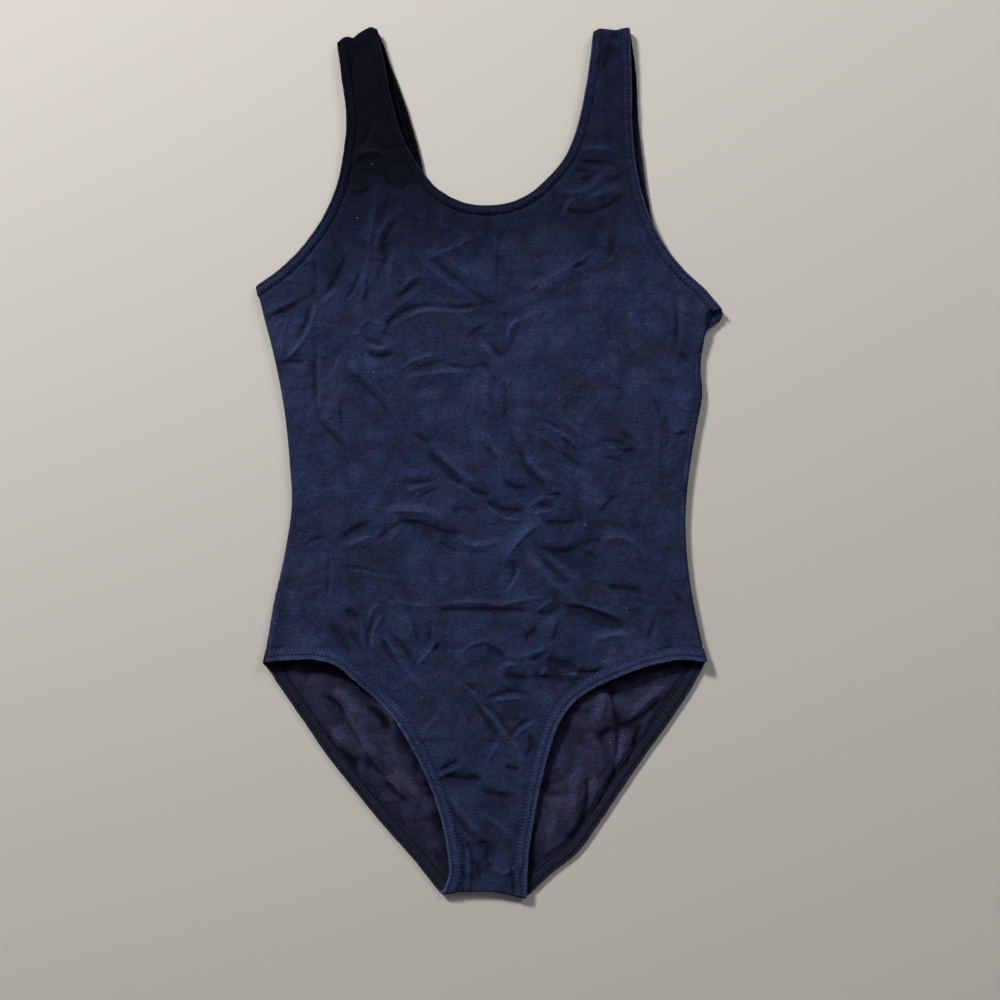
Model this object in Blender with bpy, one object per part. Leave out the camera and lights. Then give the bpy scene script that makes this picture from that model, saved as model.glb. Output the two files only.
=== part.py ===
# A dance leotard of dark jersey, laid flat on its back: scoop neck, bare arms, high-cut legs.
# Lengths are in millimetres here, and each finished mesh is written in metres.
# Seen from above, +X is to the right, +Y is towards the shoulders and +Z is up off the surface.
# Left and right are the viewer's.

from collections import namedtuple

import bpy
import numpy as np
from mathutils.geometry import delaunay_2d_cdt

MM = 0.001

# Walls, seams and turned edges
JERSEY_WALL = 1.2
SEAM_GAP = 0.3
HEM_WALL = 2.2
HEM_PROUD = 0.5
HEM_ROUNDING = 0.8
NECK_HEM_WIDTH = 6.5
ARMHOLE_HEM_WIDTH = 7.0
LEG_HEM_WIDTH = 8.7

# Where the cloth folds over at the shoulders and at the crotch
FOLD_LIFT = 5.2
BACK_WRAP = np.pi
HALF_FOLD = np.pi / 2

# How high the top layer lies
TOP_LIFT = 4.9
LEAST_LIFT_OVER_BACK = 4.3
LEAST_LIFT_OVER_FLOOR = 2.5
LIMIT_SOFTNESS = 1.0
BACK_NECK_PRINT = 1.0
BACK_NECK_PRINT_WIDTH = 4.5
FOLD_BLEND_WIDTH = 7.0

# How far inside the bare scoop the top layer starts and stops sinking, and where, far above the
# shoulders, the outline of that scoop is closed
SINK_FROM = 2.0
SINK_TO = 12.0
SCOOP_TOP = 400.0

# Where a fold of the cloth starts to fade, and where it is full, in shares of its length
FOLD_FADE_FROM = -0.12
FOLD_FADE_TO = 0.25

# The heights between which the side seams are drawn, before the cut edges trim them
SIDE_SEAM_FROM = -149.0
LEFT_SEAM_TO = 133.0
RIGHT_SEAM_TO = 119.0

# Mesh sizes
FRONT_GRID = 9.0
BACK_GRID = 17.0
GRID_ROW_HEIGHT = 0.866
GRID_MARGIN = 0.45
HEM_STEP = 8.5
HEM_FOLD_STEP = 1.8
HEM_FOLD_MARGIN = 1.0
CURVE_STEP = 1.0
SEAM_STEP = 4
FOLD_ROW_STEP = 8.0
FOLD_ROW_MARGIN = 0.7
FOLD_ROWS_FROM = -150.0
FOLD_ROWS_TO = 135.0
SIDE_FOLD_ROWS = 7
END_FOLD_ROWS = 4
EDGE_OVERRUN = 20.0
END_SPAN = 3
SHARP_DEGREES = 50

# Tolerances
NEVER = 1e3
PARALLEL = 1e-12
SAME_PLACE = 1e-6
SAME_POINT = 1e-5
FILL_INSIDE = 1

SideRow = namedtuple("SideRow", "height reach lift roll")
EdgePoint = namedtuple("EdgePoint", "x y")
Puff = namedtuple("Puff", "x y half_width half_height rise")
Fold = namedtuple("Fold", "x1 y1 x2 y2 bow spread rise")

# The folded sides, from the underarms down to the legs: how far out they reach from the middle,
# how high the folded edge stands, and how far the side seam has rolled from it on to the top.
LEFT_SIDE = [
    SideRow(134, 166.2, 5.2, 0.0),
    SideRow(122, 163.5, 5.2, 0.0),
    SideRow(105, 159.4, 5.2, 0.0),
    SideRow(72, 151.0, 5.4, 0.0),
    SideRow(38, 144.6, 5.2, 0.0),
    SideRow(0, 140.6, 5.2, 0.0),
    SideRow(-29, 139.2, 5.2, 0.0),
    SideRow(-63, 144.0, 5.4, 0.4),
    SideRow(-96, 151.0, 6.4, 2.0),
    SideRow(-128, 156.2, 8.4, 5.0),
    SideRow(-150, 161.2, 9.0, 6.0),
]
RIGHT_SIDE = [
    SideRow(120, 164.6, 5.2, 0.0),
    SideRow(106, 163.5, 5.4, 0.0),
    SideRow(100, 160.8, 5.6, 0.0),
    SideRow(94, 156.2, 5.6, 0.6),
    SideRow(87, 152.0, 5.4, 1.4),
    SideRow(78, 149.2, 5.2, 3.0),
    SideRow(66, 148.2, 5.2, 5.2),
    SideRow(50, 149.4, 5.2, 7.2),
    SideRow(22, 144.8, 5.2, 7.6),
    SideRow(-10, 139.8, 5.2, 7.6),
    SideRow(-42, 137.6, 5.2, 7.4),
    SideRow(-80, 140.2, 5.6, 6.4),
    SideRow(-118, 147.2, 7.2, 2.4),
    SideRow(-150, 154.8, 9.0, 0.0),
]

# The folded shoulder tops and the folded crotch, as heights across the garment
LEFT_SHOULDER = [
    EdgePoint(-116, 288.5),
    EdgePoint(-107, 295.6),
    EdgePoint(-98, 299.4),
    EdgePoint(-90, 303.2),
    EdgePoint(-82, 305.5),
    EdgePoint(-76, 303.4),
    EdgePoint(-66, 300.5),
]
RIGHT_SHOULDER = [
    EdgePoint(62, 303.0),
    EdgePoint(74, 304.2),
    EdgePoint(88, 304.4),
    EdgePoint(99, 304.6),
    EdgePoint(112, 303.0),
]
CROTCH = [
    EdgePoint(-44, -302.8),
    EdgePoint(-32, -302.2),
    EdgePoint(-14, -301.4),
    EdgePoint(2, -301.6),
    EdgePoint(14, -303.6),
    EdgePoint(24, -305.3),
    EdgePoint(36, -305.9),
]

# The cut edges of the front
FRONT_NECK = [
    EdgePoint(-78.3, 303.5),
    EdgePoint(-73.9, 281.8),
    EdgePoint(-68.3, 253.8),
    EdgePoint(-60.6, 227.9),
    EdgePoint(-49.4, 207.4),
    EdgePoint(-37.0, 192.4),
    EdgePoint(-21.0, 183.2),
    EdgePoint(0.0, 180.3),
    EdgePoint(20.5, 184.4),
    EdgePoint(38.9, 197.4),
    EdgePoint(53.2, 214.6),
    EdgePoint(60.4, 232.0),
    EdgePoint(66.2, 256.6),
    EdgePoint(70.2, 281.8),
    EdgePoint(72.5, 302.4),
]
FRONT_LEFT_ARMHOLE = [
    EdgePoint(-106.8, 294.0),
    EdgePoint(-103.3, 267.8),
    EdgePoint(-100.2, 240.0),
    EdgePoint(-102.4, 216.0),
    EdgePoint(-108.0, 191.0),
    EdgePoint(-117.0, 171.0),
    EdgePoint(-131.0, 150.8),
    EdgePoint(-146.5, 135.8),
    EdgePoint(-163.5, 123.6),
]
FRONT_RIGHT_ARMHOLE = [
    EdgePoint(98.4, 303.0),
    EdgePoint(99.6, 268.0),
    EdgePoint(100.2, 233.0),
    EdgePoint(103.3, 204.8),
    EdgePoint(110.0, 178.0),
    EdgePoint(120.5, 155.5),
    EdgePoint(135.0, 136.2),
    EdgePoint(150.2, 122.0),
    EdgePoint(163.5, 106.4),
]
FRONT_LEFT_LEG = [
    EdgePoint(-159.4, -139.8),
    EdgePoint(-141.0, -137.9),
    EdgePoint(-121.0, -137.4),
    EdgePoint(-108.0, -140.6),
    EdgePoint(-93.5, -153.0),
    EdgePoint(-79.5, -165.6),
    EdgePoint(-66.0, -180.2),
    EdgePoint(-54.5, -199.0),
    EdgePoint(-42.6, -224.0),
    EdgePoint(-34.2, -249.0),
    EdgePoint(-29.4, -272.0),
    EdgePoint(-28.4, -289.0),
    EdgePoint(-33.6, -302.6),
]
FRONT_RIGHT_LEG = [
    EdgePoint(151.8, -139.4),
    EdgePoint(133.0, -137.8),
    EdgePoint(112.4, -141.2),
    EdgePoint(91.4, -148.8),
    EdgePoint(72.5, -158.2),
    EdgePoint(56.0, -171.0),
    EdgePoint(47.4, -184.6),
    EdgePoint(41.4, -203.0),
    EdgePoint(35.6, -226.0),
    EdgePoint(31.2, -250.0),
    EdgePoint(27.8, -272.0),
    EdgePoint(26.0, -304.9),
]

# The cut edges of the back, which lies a little to the right of the front at the straps
BACK_NECK = [
    EdgePoint(-77.2, 303.0),
    EdgePoint(-70.4, 281.8),
    EdgePoint(-60.6, 256.0),
    EdgePoint(-52.9, 231.4),
    EdgePoint(-46.6, 206.0),
    EdgePoint(-43.4, 178.0),
    EdgePoint(-37.0, 148.0),
    EdgePoint(-20.0, 121.0),
    EdgePoint(4.0, 108.4),
    EdgePoint(30.0, 117.0),
    EdgePoint(54.0, 137.0),
    EdgePoint(70.0, 165.0),
    EdgePoint(75.5, 200.0),
    EdgePoint(76.0, 250.0),
    EdgePoint(73.6, 303.0),
]
BACK_LEFT_ARMHOLE = [
    EdgePoint(-105.6, 294.0),
    EdgePoint(-99.0, 268.0),
    EdgePoint(-94.0, 240.0),
    EdgePoint(-95.0, 214.0),
    EdgePoint(-101.0, 188.0),
    EdgePoint(-112.0, 168.0),
    EdgePoint(-128.0, 148.4),
    EdgePoint(-145.0, 134.6),
    EdgePoint(-163.5, 123.0),
]
BACK_RIGHT_ARMHOLE = [
    EdgePoint(99.0, 303.0),
    EdgePoint(103.0, 274.0),
    EdgePoint(104.8, 240.0),
    EdgePoint(107.6, 215.0),
    EdgePoint(111.0, 190.0),
    EdgePoint(117.4, 162.0),
    EdgePoint(131.0, 138.0),
    EdgePoint(147.5, 121.5),
    EdgePoint(163.5, 105.8),
]
BACK_LEFT_LEG = [
    EdgePoint(-178.0, -139.4),
    EdgePoint(-164.5, -139.4),
    EdgePoint(-157.0, -144.0),
    EdgePoint(-149.0, -155.4),
    EdgePoint(-132.0, -180.0),
    EdgePoint(-114.5, -205.5),
    EdgePoint(-94.5, -231.0),
    EdgePoint(-73.9, -256.0),
    EdgePoint(-56.0, -276.0),
    EdgePoint(-34.0, -303.6),
]
BACK_RIGHT_LEG = [
    EdgePoint(160.0, -138.8),
    EdgePoint(154.0, -139.4),
    EdgePoint(149.4, -145.6),
    EdgePoint(143.9, -155.2),
    EdgePoint(127.8, -180.2),
    EdgePoint(109.6, -205.4),
    EdgePoint(92.2, -230.8),
    EdgePoint(76.0, -255.0),
    EdgePoint(62.0, -274.0),
    EdgePoint(45.0, -287.6),
    EdgePoint(26.4, -304.9),
]

# Broad swells of the top layer: the leg edges stand open, and the chest sinks into the bare scoop
FRONT_PUFFS = [
    Puff(-122, -146, 34, 26, 4.6),
    Puff(112, -150, 36, 24, 4.4),
    Puff(-62, -196, 20, 26, 2.4),
    Puff(52, -190, 20, 22, 2.2),
    Puff(8, 168, 44, 34, -1.7),
    Puff(-118, 150, 20, 20, 1.2),
    Puff(140, 112, 18, 14, 1.6),
    Puff(-14, -258, 14, 34, 1.6),
    Puff(-86, 30, 26, 60, 0.9),
    Puff(96, 6, 30, 60, 0.9),
]

# The largest folds of the front: the line each follows, how far it bows from that line to its
# left, how wide it is, and how far it rises (or sinks, where the value is negative)
FRONT_FOLDS = [
    Fold(-92, 101, -77, 181, 3, 4.0, 1.7),
    Fold(-77, 128, -63, 168, 1, 3.4, -1.5),
    Fold(-40, 142, -12, 121, 2, 3.6, -1.6),
    Fold(-72, 98, -44, 127, -2, 4.4, 1.5),
    Fold(-70, 95, -2, 110, 5, 3.8, -1.5),
    Fold(-52, 64, -10, 66, 1, 4.6, 1.6),
    Fold(-15, 88, 11, 74, 1, 3.6, -1.6),
    Fold(7, 158, 13, 42, 2, 3.2, -1.2),
    Fold(24, 120, 73, 147, -3, 3.6, 1.4),
    Fold(76, 70, 98, 46, 1, 4.4, -1.4),
    Fold(-100, 66, -72, 33, 2, 4.4, -1.5),
    Fold(-40, 7, 2, -24, 3, 4.2, -1.8),
    Fold(34, 31, 68, 0, 3, 4.4, -1.6),
    Fold(-92, -54, -18, -54, 10, 4.4, 1.7),
    Fold(-94, -62, -16, -61, 10, 4.0, -1.4),
    Fold(15, -67, 55, -36, 5, 4.4, 1.6),
    Fold(-62, -99, 54, -100, 2, 3.6, 1.5),
    Fold(-62, -105, 54, -105, 2, 3.4, -1.2),
    Fold(-72, -118, -45, -157, 2, 4.6, 1.7),
    Fold(-20, -157, 24, -214, 3, 4.6, 1.8),
    Fold(46, -141, 79, -147, -2, 4.6, -1.6),
    Fold(-42, -222, -22, -209, 1, 3.6, 1.5),
    Fold(-28, -240, -6, -266, 2, 4.0, -1.4),
    Fold(70, 213, 92, 215, 1, 4.0, 1.3),
    Fold(53, 186, 93, 198, 2, 3.8, 1.4),
]

# The back shows below the front's legs, where it is pushed up into a few soft ridges
BACK_FOLDS = [
    Fold(-104, -176, -74, -222, 3, 5.0, 1.5),
    Fold(-92, -196, -70, -232, -2, 5.0, 1.3),
    Fold(86, -182, 84, -228, 3, 5.0, 1.5),
    Fold(103, -172, 116, -164, 1, 5.0, 1.2),
]


def smooth_curve(points, step=CURVE_STEP):
    """A smooth curve through points of any number of columns, with a point about every step."""
    points = np.array(points, float)
    chords = np.hypot(np.diff(points[:, 0]), np.diff(points[:, 1]))
    knots = np.concatenate([[0.0], np.cumsum(chords)])
    slopes = np.gradient(points, knots, axis=0)
    at = np.linspace(0.0, knots[-1], int(np.ceil(knots[-1] / step)) + 1)
    i = np.clip(np.searchsorted(knots, at, "right") - 1, 0, len(knots) - 2)
    span = (knots[i + 1] - knots[i])[:, None]
    s = (at - knots[i])[:, None] / span
    return (
        (1 + 2 * s) * (1 - s) ** 2 * points[i]
        + s * (1 - s) ** 2 * span * slopes[i]
        + s**2 * (3 - 2 * s) * points[i + 1]
        - s**2 * (1 - s) * span * slopes[i + 1]
    )


def by_first_column(rows):
    """The smooth curve of a table, sorted by its first column for looking up."""
    curve = smooth_curve(rows)
    return curve[np.argsort(curve[:, 0])]


SIDES = {-1: by_first_column(LEFT_SIDE), 1: by_first_column(RIGHT_SIDE)}
ENDS = {
    "left shoulder": by_first_column(LEFT_SHOULDER),
    "right shoulder": by_first_column(RIGHT_SHOULDER),
    "crotch": by_first_column(CROTCH),
}
BACK_NECK_CURVE = smooth_curve(BACK_NECK)


def side_reach(side, height):
    table = SIDES[side]
    return np.interp(height, table[:, 0], table[:, 1])


def side_radius(side, height):
    table = SIDES[side]
    return np.interp(height, table[:, 0], table[:, 2]) / 2


def side_roll(side, height):
    table = SIDES[side]
    return np.interp(height, table[:, 0], table[:, 3])


def end_height(end, x):
    table = ENDS[end]
    return np.interp(x, table[:, 0], table[:, 1])


def distance_to(curve, x, y):
    """How far each point (x, y) is from a curve."""
    starts = curve[:-1]
    runs = np.diff(curve, axis=0)
    best = np.full(np.shape(x), np.inf)
    for (x0, y0), (dx, dy) in zip(starts, runs):
        s = np.clip(((x - x0) * dx + (y - y0) * dy) / (dx * dx + dy * dy), 0, 1)
        best = np.minimum(best, np.hypot(x - x0 - s * dx, y - y0 - s * dy))
    return best


def inside(outline, x, y):
    """Whether each point (x, y) is inside a closed outline."""
    found = np.zeros(np.shape(x), bool)
    for (x0, y0), (x1, y1) in zip(outline, np.roll(outline, -1, axis=0)):
        if y0 != y1:
            crosses = (y0 > y) != (y1 > y)
            found ^= crosses & (x < x0 + (y - y0) / (y1 - y0) * (x1 - x0))
    return found


def smoothstep(low, high, value):
    s = np.clip((value - low) / (high - low), 0, 1)
    return s * s * (3 - 2 * s)


def swell(puffs, x, y):
    total = np.zeros(np.shape(x))
    for puff in puffs:
        away = ((x - puff.x) / puff.half_width) ** 2 + ((y - puff.y) / puff.half_height) ** 2
        total += puff.rise * np.exp(-away)
    return total


def crease(folds, x, y):
    """The rise of all folds at (x, y): soft across each fold, and dying out at both its ends."""
    total = np.zeros(np.shape(x))
    for fold in folds:
        run = np.array([fold.x2 - fold.x1, fold.y2 - fold.y1], float)
        length = np.hypot(*run)
        run /= length
        s = ((x - fold.x1) * run[0] + (y - fold.y1) * run[1]) / length
        across = (y - fold.y1) * run[0] - (x - fold.x1) * run[1]
        inner = np.clip(s, 0, 1)
        across = across - fold.bow * 4 * inner * (1 - inner)
        fade = smoothstep(FOLD_FADE_FROM, FOLD_FADE_TO, s)
        fade = fade * smoothstep(FOLD_FADE_FROM, FOLD_FADE_TO, 1 - s)
        total += fold.rise * fade * np.exp(-((across / fold.spread) ** 2))
    return total


def front_lift(x, y):
    """Height of the front's outer face above the surface that the garment lies on."""
    top = [[BACK_NECK[-1].x, SCOOP_TOP], [BACK_NECK[0].x, SCOOP_TOP]]
    scoop = np.vstack([BACK_NECK_CURVE, top])
    away = distance_to(BACK_NECK_CURVE, x, y)
    over_floor = np.where(inside(scoop, x, y), away, -away)
    lift = TOP_LIFT + swell(FRONT_PUFFS, x, y) + crease(FRONT_FOLDS, x, y)
    lift += BACK_NECK_PRINT * np.exp(-(((over_floor + HEM_WALL) / BACK_NECK_PRINT_WIDTH) ** 2))
    sunk = (LEAST_LIFT_OVER_BACK - LEAST_LIFT_OVER_FLOOR) * smoothstep(SINK_FROM, SINK_TO, over_floor)
    least = LEAST_LIFT_OVER_BACK - sunk
    above = lift - least
    lift = least + (above + np.sqrt(above**2 + LIMIT_SOFTNESS)) / 2
    for side in SIDES:
        radius = side_radius(side, y)
        from_fold = side_reach(side, y) - radius - side * x
        near = np.exp(-((np.maximum(from_fold, 0) / FOLD_BLEND_WIDTH) ** 2))
        lift = lift + (2 * radius - lift) * near
    for end in ENDS:
        depth = np.maximum(end_depth(end, x, y), 0)
        near = np.exp(-((depth / FOLD_BLEND_WIDTH) ** 2))
        lift = lift + (FOLD_LIFT - lift) * near
    return lift


def end_depth(end, x, y):
    """How far (x, y) lies inside the line where a shoulder or the crotch starts to fold over."""
    if end == "crotch":
        return y - (end_height(end, x) + FOLD_LIFT / 2)
    mine = (x < 0) == (end == "left shoulder")
    return np.where(mine, end_height(end, x) - FOLD_LIFT / 2 - y, NEVER)


def back_lift(x, y):
    """Height of the back's outer face: flat on the surface, but for its few raised ridges."""
    return crease(BACK_FOLDS, x, y)


def lay(u, v, layer):
    """Lays points of the flat cloth on the garment: u and v are lengths along the cloth, which are
    plain X and Y in its middle and run round the folded sides, shoulders and crotch."""
    u, v = np.asarray(u, float), np.asarray(v, float)
    x, y = u.copy(), v.copy()
    drop = np.zeros_like(u)
    wrapped = np.zeros(u.shape, bool)
    turn_limit = HALF_FOLD if layer == "front" else BACK_WRAP
    for side in SIDES:
        radius = side_radius(side, v)
        tangent = side_reach(side, v) - radius
        over = side * u - tangent
        turn = np.clip(over / radius, 0, turn_limit)
        beyond = np.maximum(over - turn_limit * radius, 0)
        x = np.where(over > 0, side * (tangent + radius * np.sin(turn) - beyond), x)
        drop = np.where(over > 0, radius * (1 - np.cos(turn)), drop)
        wrapped |= beyond > 0
    for end in ENDS:
        radius = FOLD_LIFT / 2
        over = -end_depth(end, u, v)
        turn = np.clip(over / radius, 0, HALF_FOLD)
        way = -1 if end == "crotch" else 1
        y = np.where(over > 0, y + way * (radius * np.sin(turn) - over), y)
        drop = np.where(over > 0, radius * (1 - np.cos(turn)), drop)
    if layer == "front":
        return np.stack([x, y, front_lift(tucked(u, v), y) - drop], axis=-1)
    z = back_lift(x, y) + drop
    z = np.where(wrapped, front_lift(x, y), z)
    return np.stack([x, y, z], axis=-1)


def tucked(u, v):
    """u held between the two lines where the sides start to fold over."""
    left = side_reach(-1, v) - side_radius(-1, v)
    right = side_reach(1, v) - side_radius(1, v)
    return np.clip(u, -left, right)


def lay_moved_out(u, v, layer, out):
    """The laid points, moved out of the cloth's outer face by a distance for each."""
    reach = 0.05
    across = lay(u + reach, v, layer) - lay(u - reach, v, layer)
    along = lay(u, v + reach, layer) - lay(u, v - reach, layer)
    normal = np.cross(across, along)
    normal /= np.linalg.norm(normal, axis=-1)[..., None]
    if layer == "back":
        normal = -normal
    return lay(u, v, layer) + normal * np.asarray(out, float)[..., None]


def side_seam(side, layer, low, high):
    """The line of a side seam on the flat cloth, from low to high. Where the seam has rolled on
    to the top, the back wraps round the fold and the front stops short of it."""
    v = np.arange(low, high + CURVE_STEP, CURVE_STEP)
    radius = side_radius(side, v)
    roll = side_roll(side, v) * (1 if layer == "back" else -1)
    over = HALF_FOLD * radius + roll - SEAM_GAP / 2
    return np.stack([side * (side_reach(side, v) - radius + over), v], axis=-1)


def end_seam(end):
    """The line of a shoulder seam or the crotch seam on the flat cloth."""
    table = ENDS[end]
    over = FOLD_LIFT / 2 * (HALF_FOLD - 1) - SEAM_GAP / 2
    way = -1 if end == "crotch" else 1
    return np.stack([table[:, 0], table[:, 1] + way * over], axis=-1)


def stretched(curve):
    """The curve with a straight run added at both ends."""
    first = curve[0] - curve[END_SPAN]
    last = curve[-1] - curve[-1 - END_SPAN]
    start = curve[0] + first / np.linalg.norm(first) * EDGE_OVERRUN
    finish = curve[-1] + last / np.linalg.norm(last) * EDGE_OVERRUN
    return np.vstack([start, curve, finish])


def moved_in(curve, distance, inward):
    """A curve beside this one, at a distance to the side that inward gives (1 left, -1 right)."""
    runs = np.gradient(curve, axis=0)
    runs /= np.linalg.norm(runs, axis=1)[:, None]
    return curve + inward * distance * np.stack([-runs[:, 1], runs[:, 0]], axis=-1)


def crossing(first, second):
    """Where one curve first crosses another: the place along it, in segments, and the point."""
    p, r = first[:-1, None], np.diff(first, axis=0)[:, None]
    q, s = second[None, :-1], np.diff(second, axis=0)[None]
    across = r[..., 0] * s[..., 1] - r[..., 1] * s[..., 0]
    across = np.where(np.abs(across) < PARALLEL, np.nan, across)
    gap = q - p
    t = (gap[..., 0] * s[..., 1] - gap[..., 1] * s[..., 0]) / across
    w = (gap[..., 0] * r[..., 1] - gap[..., 1] * r[..., 0]) / across
    found = np.argwhere((t >= 0) & (t <= 1) & (w >= 0) & (w <= 1))
    i, j = found[0]
    return i + t[i, j], first[i] + t[i, j] * r[i, 0]


def between(curve, start, finish):
    """The stretch of a curve from where it crosses start to where it crosses finish."""
    at_start, first = crossing(curve, start)
    at_finish, last = crossing(curve[::-1], finish)
    at_finish = len(curve) - 1 - at_finish
    kept = slice(int(np.ceil(at_start + SAME_PLACE)), int(np.floor(at_finish - SAME_PLACE)) + 1)
    return np.vstack([first, curve[kept], last])


def along(curve):
    """How far along a curve each of its points is, as a share of its length."""
    lengths = np.concatenate([[0.0], np.cumsum(np.linalg.norm(np.diff(curve, axis=0), axis=1))])
    return lengths / lengths[-1]


def at_shares(curve, shares):
    """The points of a curve at some shares of its length."""
    return np.stack([np.interp(shares, along(curve), curve[:, k]) for k in range(2)], axis=-1)


def station_shares(curve):
    """Shares of a hem's length for its stations, which lie closer where the cloth folds over."""
    u, v = curve[:, 0], curve[:, 1]
    folded = np.zeros(len(curve), bool)
    for side in SIDES:
        tangent = side_reach(side, v) - side_radius(side, v)
        folded |= side * u > tangent - HEM_FOLD_MARGIN
    for end in ENDS:
        folded |= end_depth(end, u, v) < HEM_FOLD_MARGIN
    steps = np.linalg.norm(np.diff(curve, axis=0), axis=1)
    steps /= np.where(folded[1:], HEM_FOLD_STEP, HEM_STEP)
    taken = np.concatenate([[0.0], np.cumsum(steps)])
    return np.interp(np.linspace(0, taken[-1], int(round(taken[-1])) + 1), taken, along(curve))


def material(name, colour, roughness):
    """A cloth material, with the colour in sRGB parts of one."""
    made = bpy.data.materials.new(name)
    made.use_nodes = True
    shader = made.node_tree.nodes["Principled BSDF"]
    linear = [((c + 0.055) / 1.055) ** 2.4 if c > 0.04045 else c / 12.92 for c in colour]
    shader.inputs["Base Color"].default_value = (*linear, 1.0)
    shader.inputs["Roughness"].default_value = roughness
    shader.inputs["Metallic"].default_value = 0.0
    made.diffuse_color = (*linear, 1.0)
    return made


def add_piece(name, points, faces, finish):
    mesh = bpy.data.meshes.new(name)
    mesh.from_pydata((points * MM).tolist(), [], faces)
    mesh.validate()
    mesh.shade_smooth()
    mesh.set_sharp_from_angle(angle=np.radians(SHARP_DEGREES))
    mesh.materials.append(finish)
    piece = bpy.data.objects.new(name, mesh)
    bpy.context.collection.objects.link(piece)
    return piece


def fold_rows(outline):
    """Points that give the folded-over stretches of a panel their roundness."""
    rows = []
    for side in SIDES:
        v = np.arange(FOLD_ROWS_FROM, FOLD_ROWS_TO, FOLD_ROW_STEP)
        radius = side_radius(side, v)
        tangent = side_reach(side, v) - radius
        for turn in np.linspace(0, BACK_WRAP, SIDE_FOLD_ROWS):
            u = side * (tangent + turn * radius)
            rows.append(np.stack([u, v], axis=-1))
    for end in ENDS:
        way = -1 if end == "crotch" else 1
        u = np.arange(ENDS[end][0, 0], ENDS[end][-1, 0], SEAM_STEP)
        for turn in np.linspace(0, HALF_FOLD, END_FOLD_ROWS):
            start = end_height(end, u) - way * FOLD_LIFT / 2
            rows.append(np.stack([u, start + way * turn * FOLD_LIFT / 2], axis=-1))
    rows = np.vstack(rows)
    kept = inside(outline, rows[:, 0], rows[:, 1])
    closed = np.vstack([outline, outline[:1]])
    kept &= distance_to(closed, rows[:, 0], rows[:, 1]) > FOLD_ROW_MARGIN
    return rows[kept]


def grid_points(outline, spacing):
    """An even field of points inside an outline, clear of its folded-over stretches."""
    low, high = outline.min(axis=0), outline.max(axis=0)
    found = []
    for row, v in enumerate(np.arange(low[1], high[1], spacing * GRID_ROW_HEIGHT)):
        u = np.arange(low[0] + (row % 2) * spacing / 2, high[0], spacing)
        found.append(np.stack([u, np.full_like(u, v)], axis=-1))
    found = np.vstack(found)
    u, v = found[:, 0], found[:, 1]
    margin = GRID_MARGIN * spacing
    closed = np.vstack([outline, outline[:1]])
    kept = inside(outline, u, v) & (distance_to(closed, u, v) > margin)
    for side in SIDES:
        kept &= side * u < side_reach(side, v) - side_radius(side, v) - margin
    for end in ENDS:
        kept &= end_depth(end, u, v) > margin
    return found[kept]


def make_panel(name, outline, layer, spacing, finish):
    """One piece of jersey: its flat cut is filled with triangles, laid, and given its wall."""
    field = np.vstack([outline, fold_rows(outline), grid_points(outline, spacing)])
    rim = [(i, (i + 1) % len(outline)) for i in range(len(outline))]
    filled = delaunay_2d_cdt([tuple(p) for p in field], rim, [], FILL_INSIDE, SAME_POINT)
    flat, faces = np.array([tuple(p) for p in filled[0]]), filled[2]
    used = sorted({i for face in faces for i in face})
    order = {old: new for new, old in enumerate(used)}
    flat = flat[used]
    faces = [tuple(order[i] for i in face) for face in faces]
    outer = lay(flat[:, 0], flat[:, 1], layer)
    inner = lay_moved_out(flat[:, 0], flat[:, 1], layer, np.full(len(flat), -JERSEY_WALL))
    count = len(flat)
    if layer == "back":
        faces = [face[::-1] for face in faces]
    edges = {(face[i], face[(i + 1) % 3]) for face in faces for i in range(3)}
    rims = [(a, b) for a, b in edges if (b, a) not in edges]
    solid = list(faces)
    solid += [tuple(i + count for i in face[::-1]) for face in faces]
    solid += [(b, a, a + count, b + count) for a, b in sorted(rims)]
    return add_piece(name, np.vstack([outer, inner]), solid, finish)


def make_hem(name, outer_edge, inner_edge, width, layer, inward, finish):
    """A turned edge over its elastic: one rounded band along a cut edge."""
    proud = HEM_PROUD if layer == "front" else 0.0
    low, high = proud - HEM_WALL, proud
    middle = (low + high) / 2
    rounding = HEM_ROUNDING / width
    profile = [
        (0, middle),
        (rounding, high),
        (1 - rounding, high),
        (1, middle),
        (1 - rounding, low),
        (rounding, low),
    ]
    stations = len(outer_edge)
    rings = []
    for share, out in profile:
        flat = outer_edge * (1 - share) + inner_edge * share
        rings.append(lay_moved_out(flat[:, 0], flat[:, 1], layer, np.full(stations, out)))
    points = np.stack(rings, axis=1).reshape(-1, 3)
    sides = len(profile)
    faces = []
    for i in range(stations - 1):
        for k in range(sides):
            a, b = i * sides + k, i * sides + (k + 1) % sides
            faces.append((a, a + sides, b + sides, b))
    faces.append(tuple(range(sides)))
    faces.append(tuple((stations - 1) * sides + k for k in reversed(range(sides))))
    if (inward < 0) != (layer == "back"):
        faces = [face[::-1] for face in faces]
    return add_piece(name, points, faces, finish)


def hem_edges(cut, inward, width, start, finish):
    """The two edges of a turned hem and the panel's edge beside it, with matching points."""
    edge = smooth_curve(cut)
    lines = []
    for distance in (0.0, width, width + SEAM_GAP):
        lines.append(between(stretched(moved_in(edge, distance, inward)), start, finish))
    shares = station_shares(lines[0])
    return [at_shares(line, shares) for line in lines]


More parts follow.
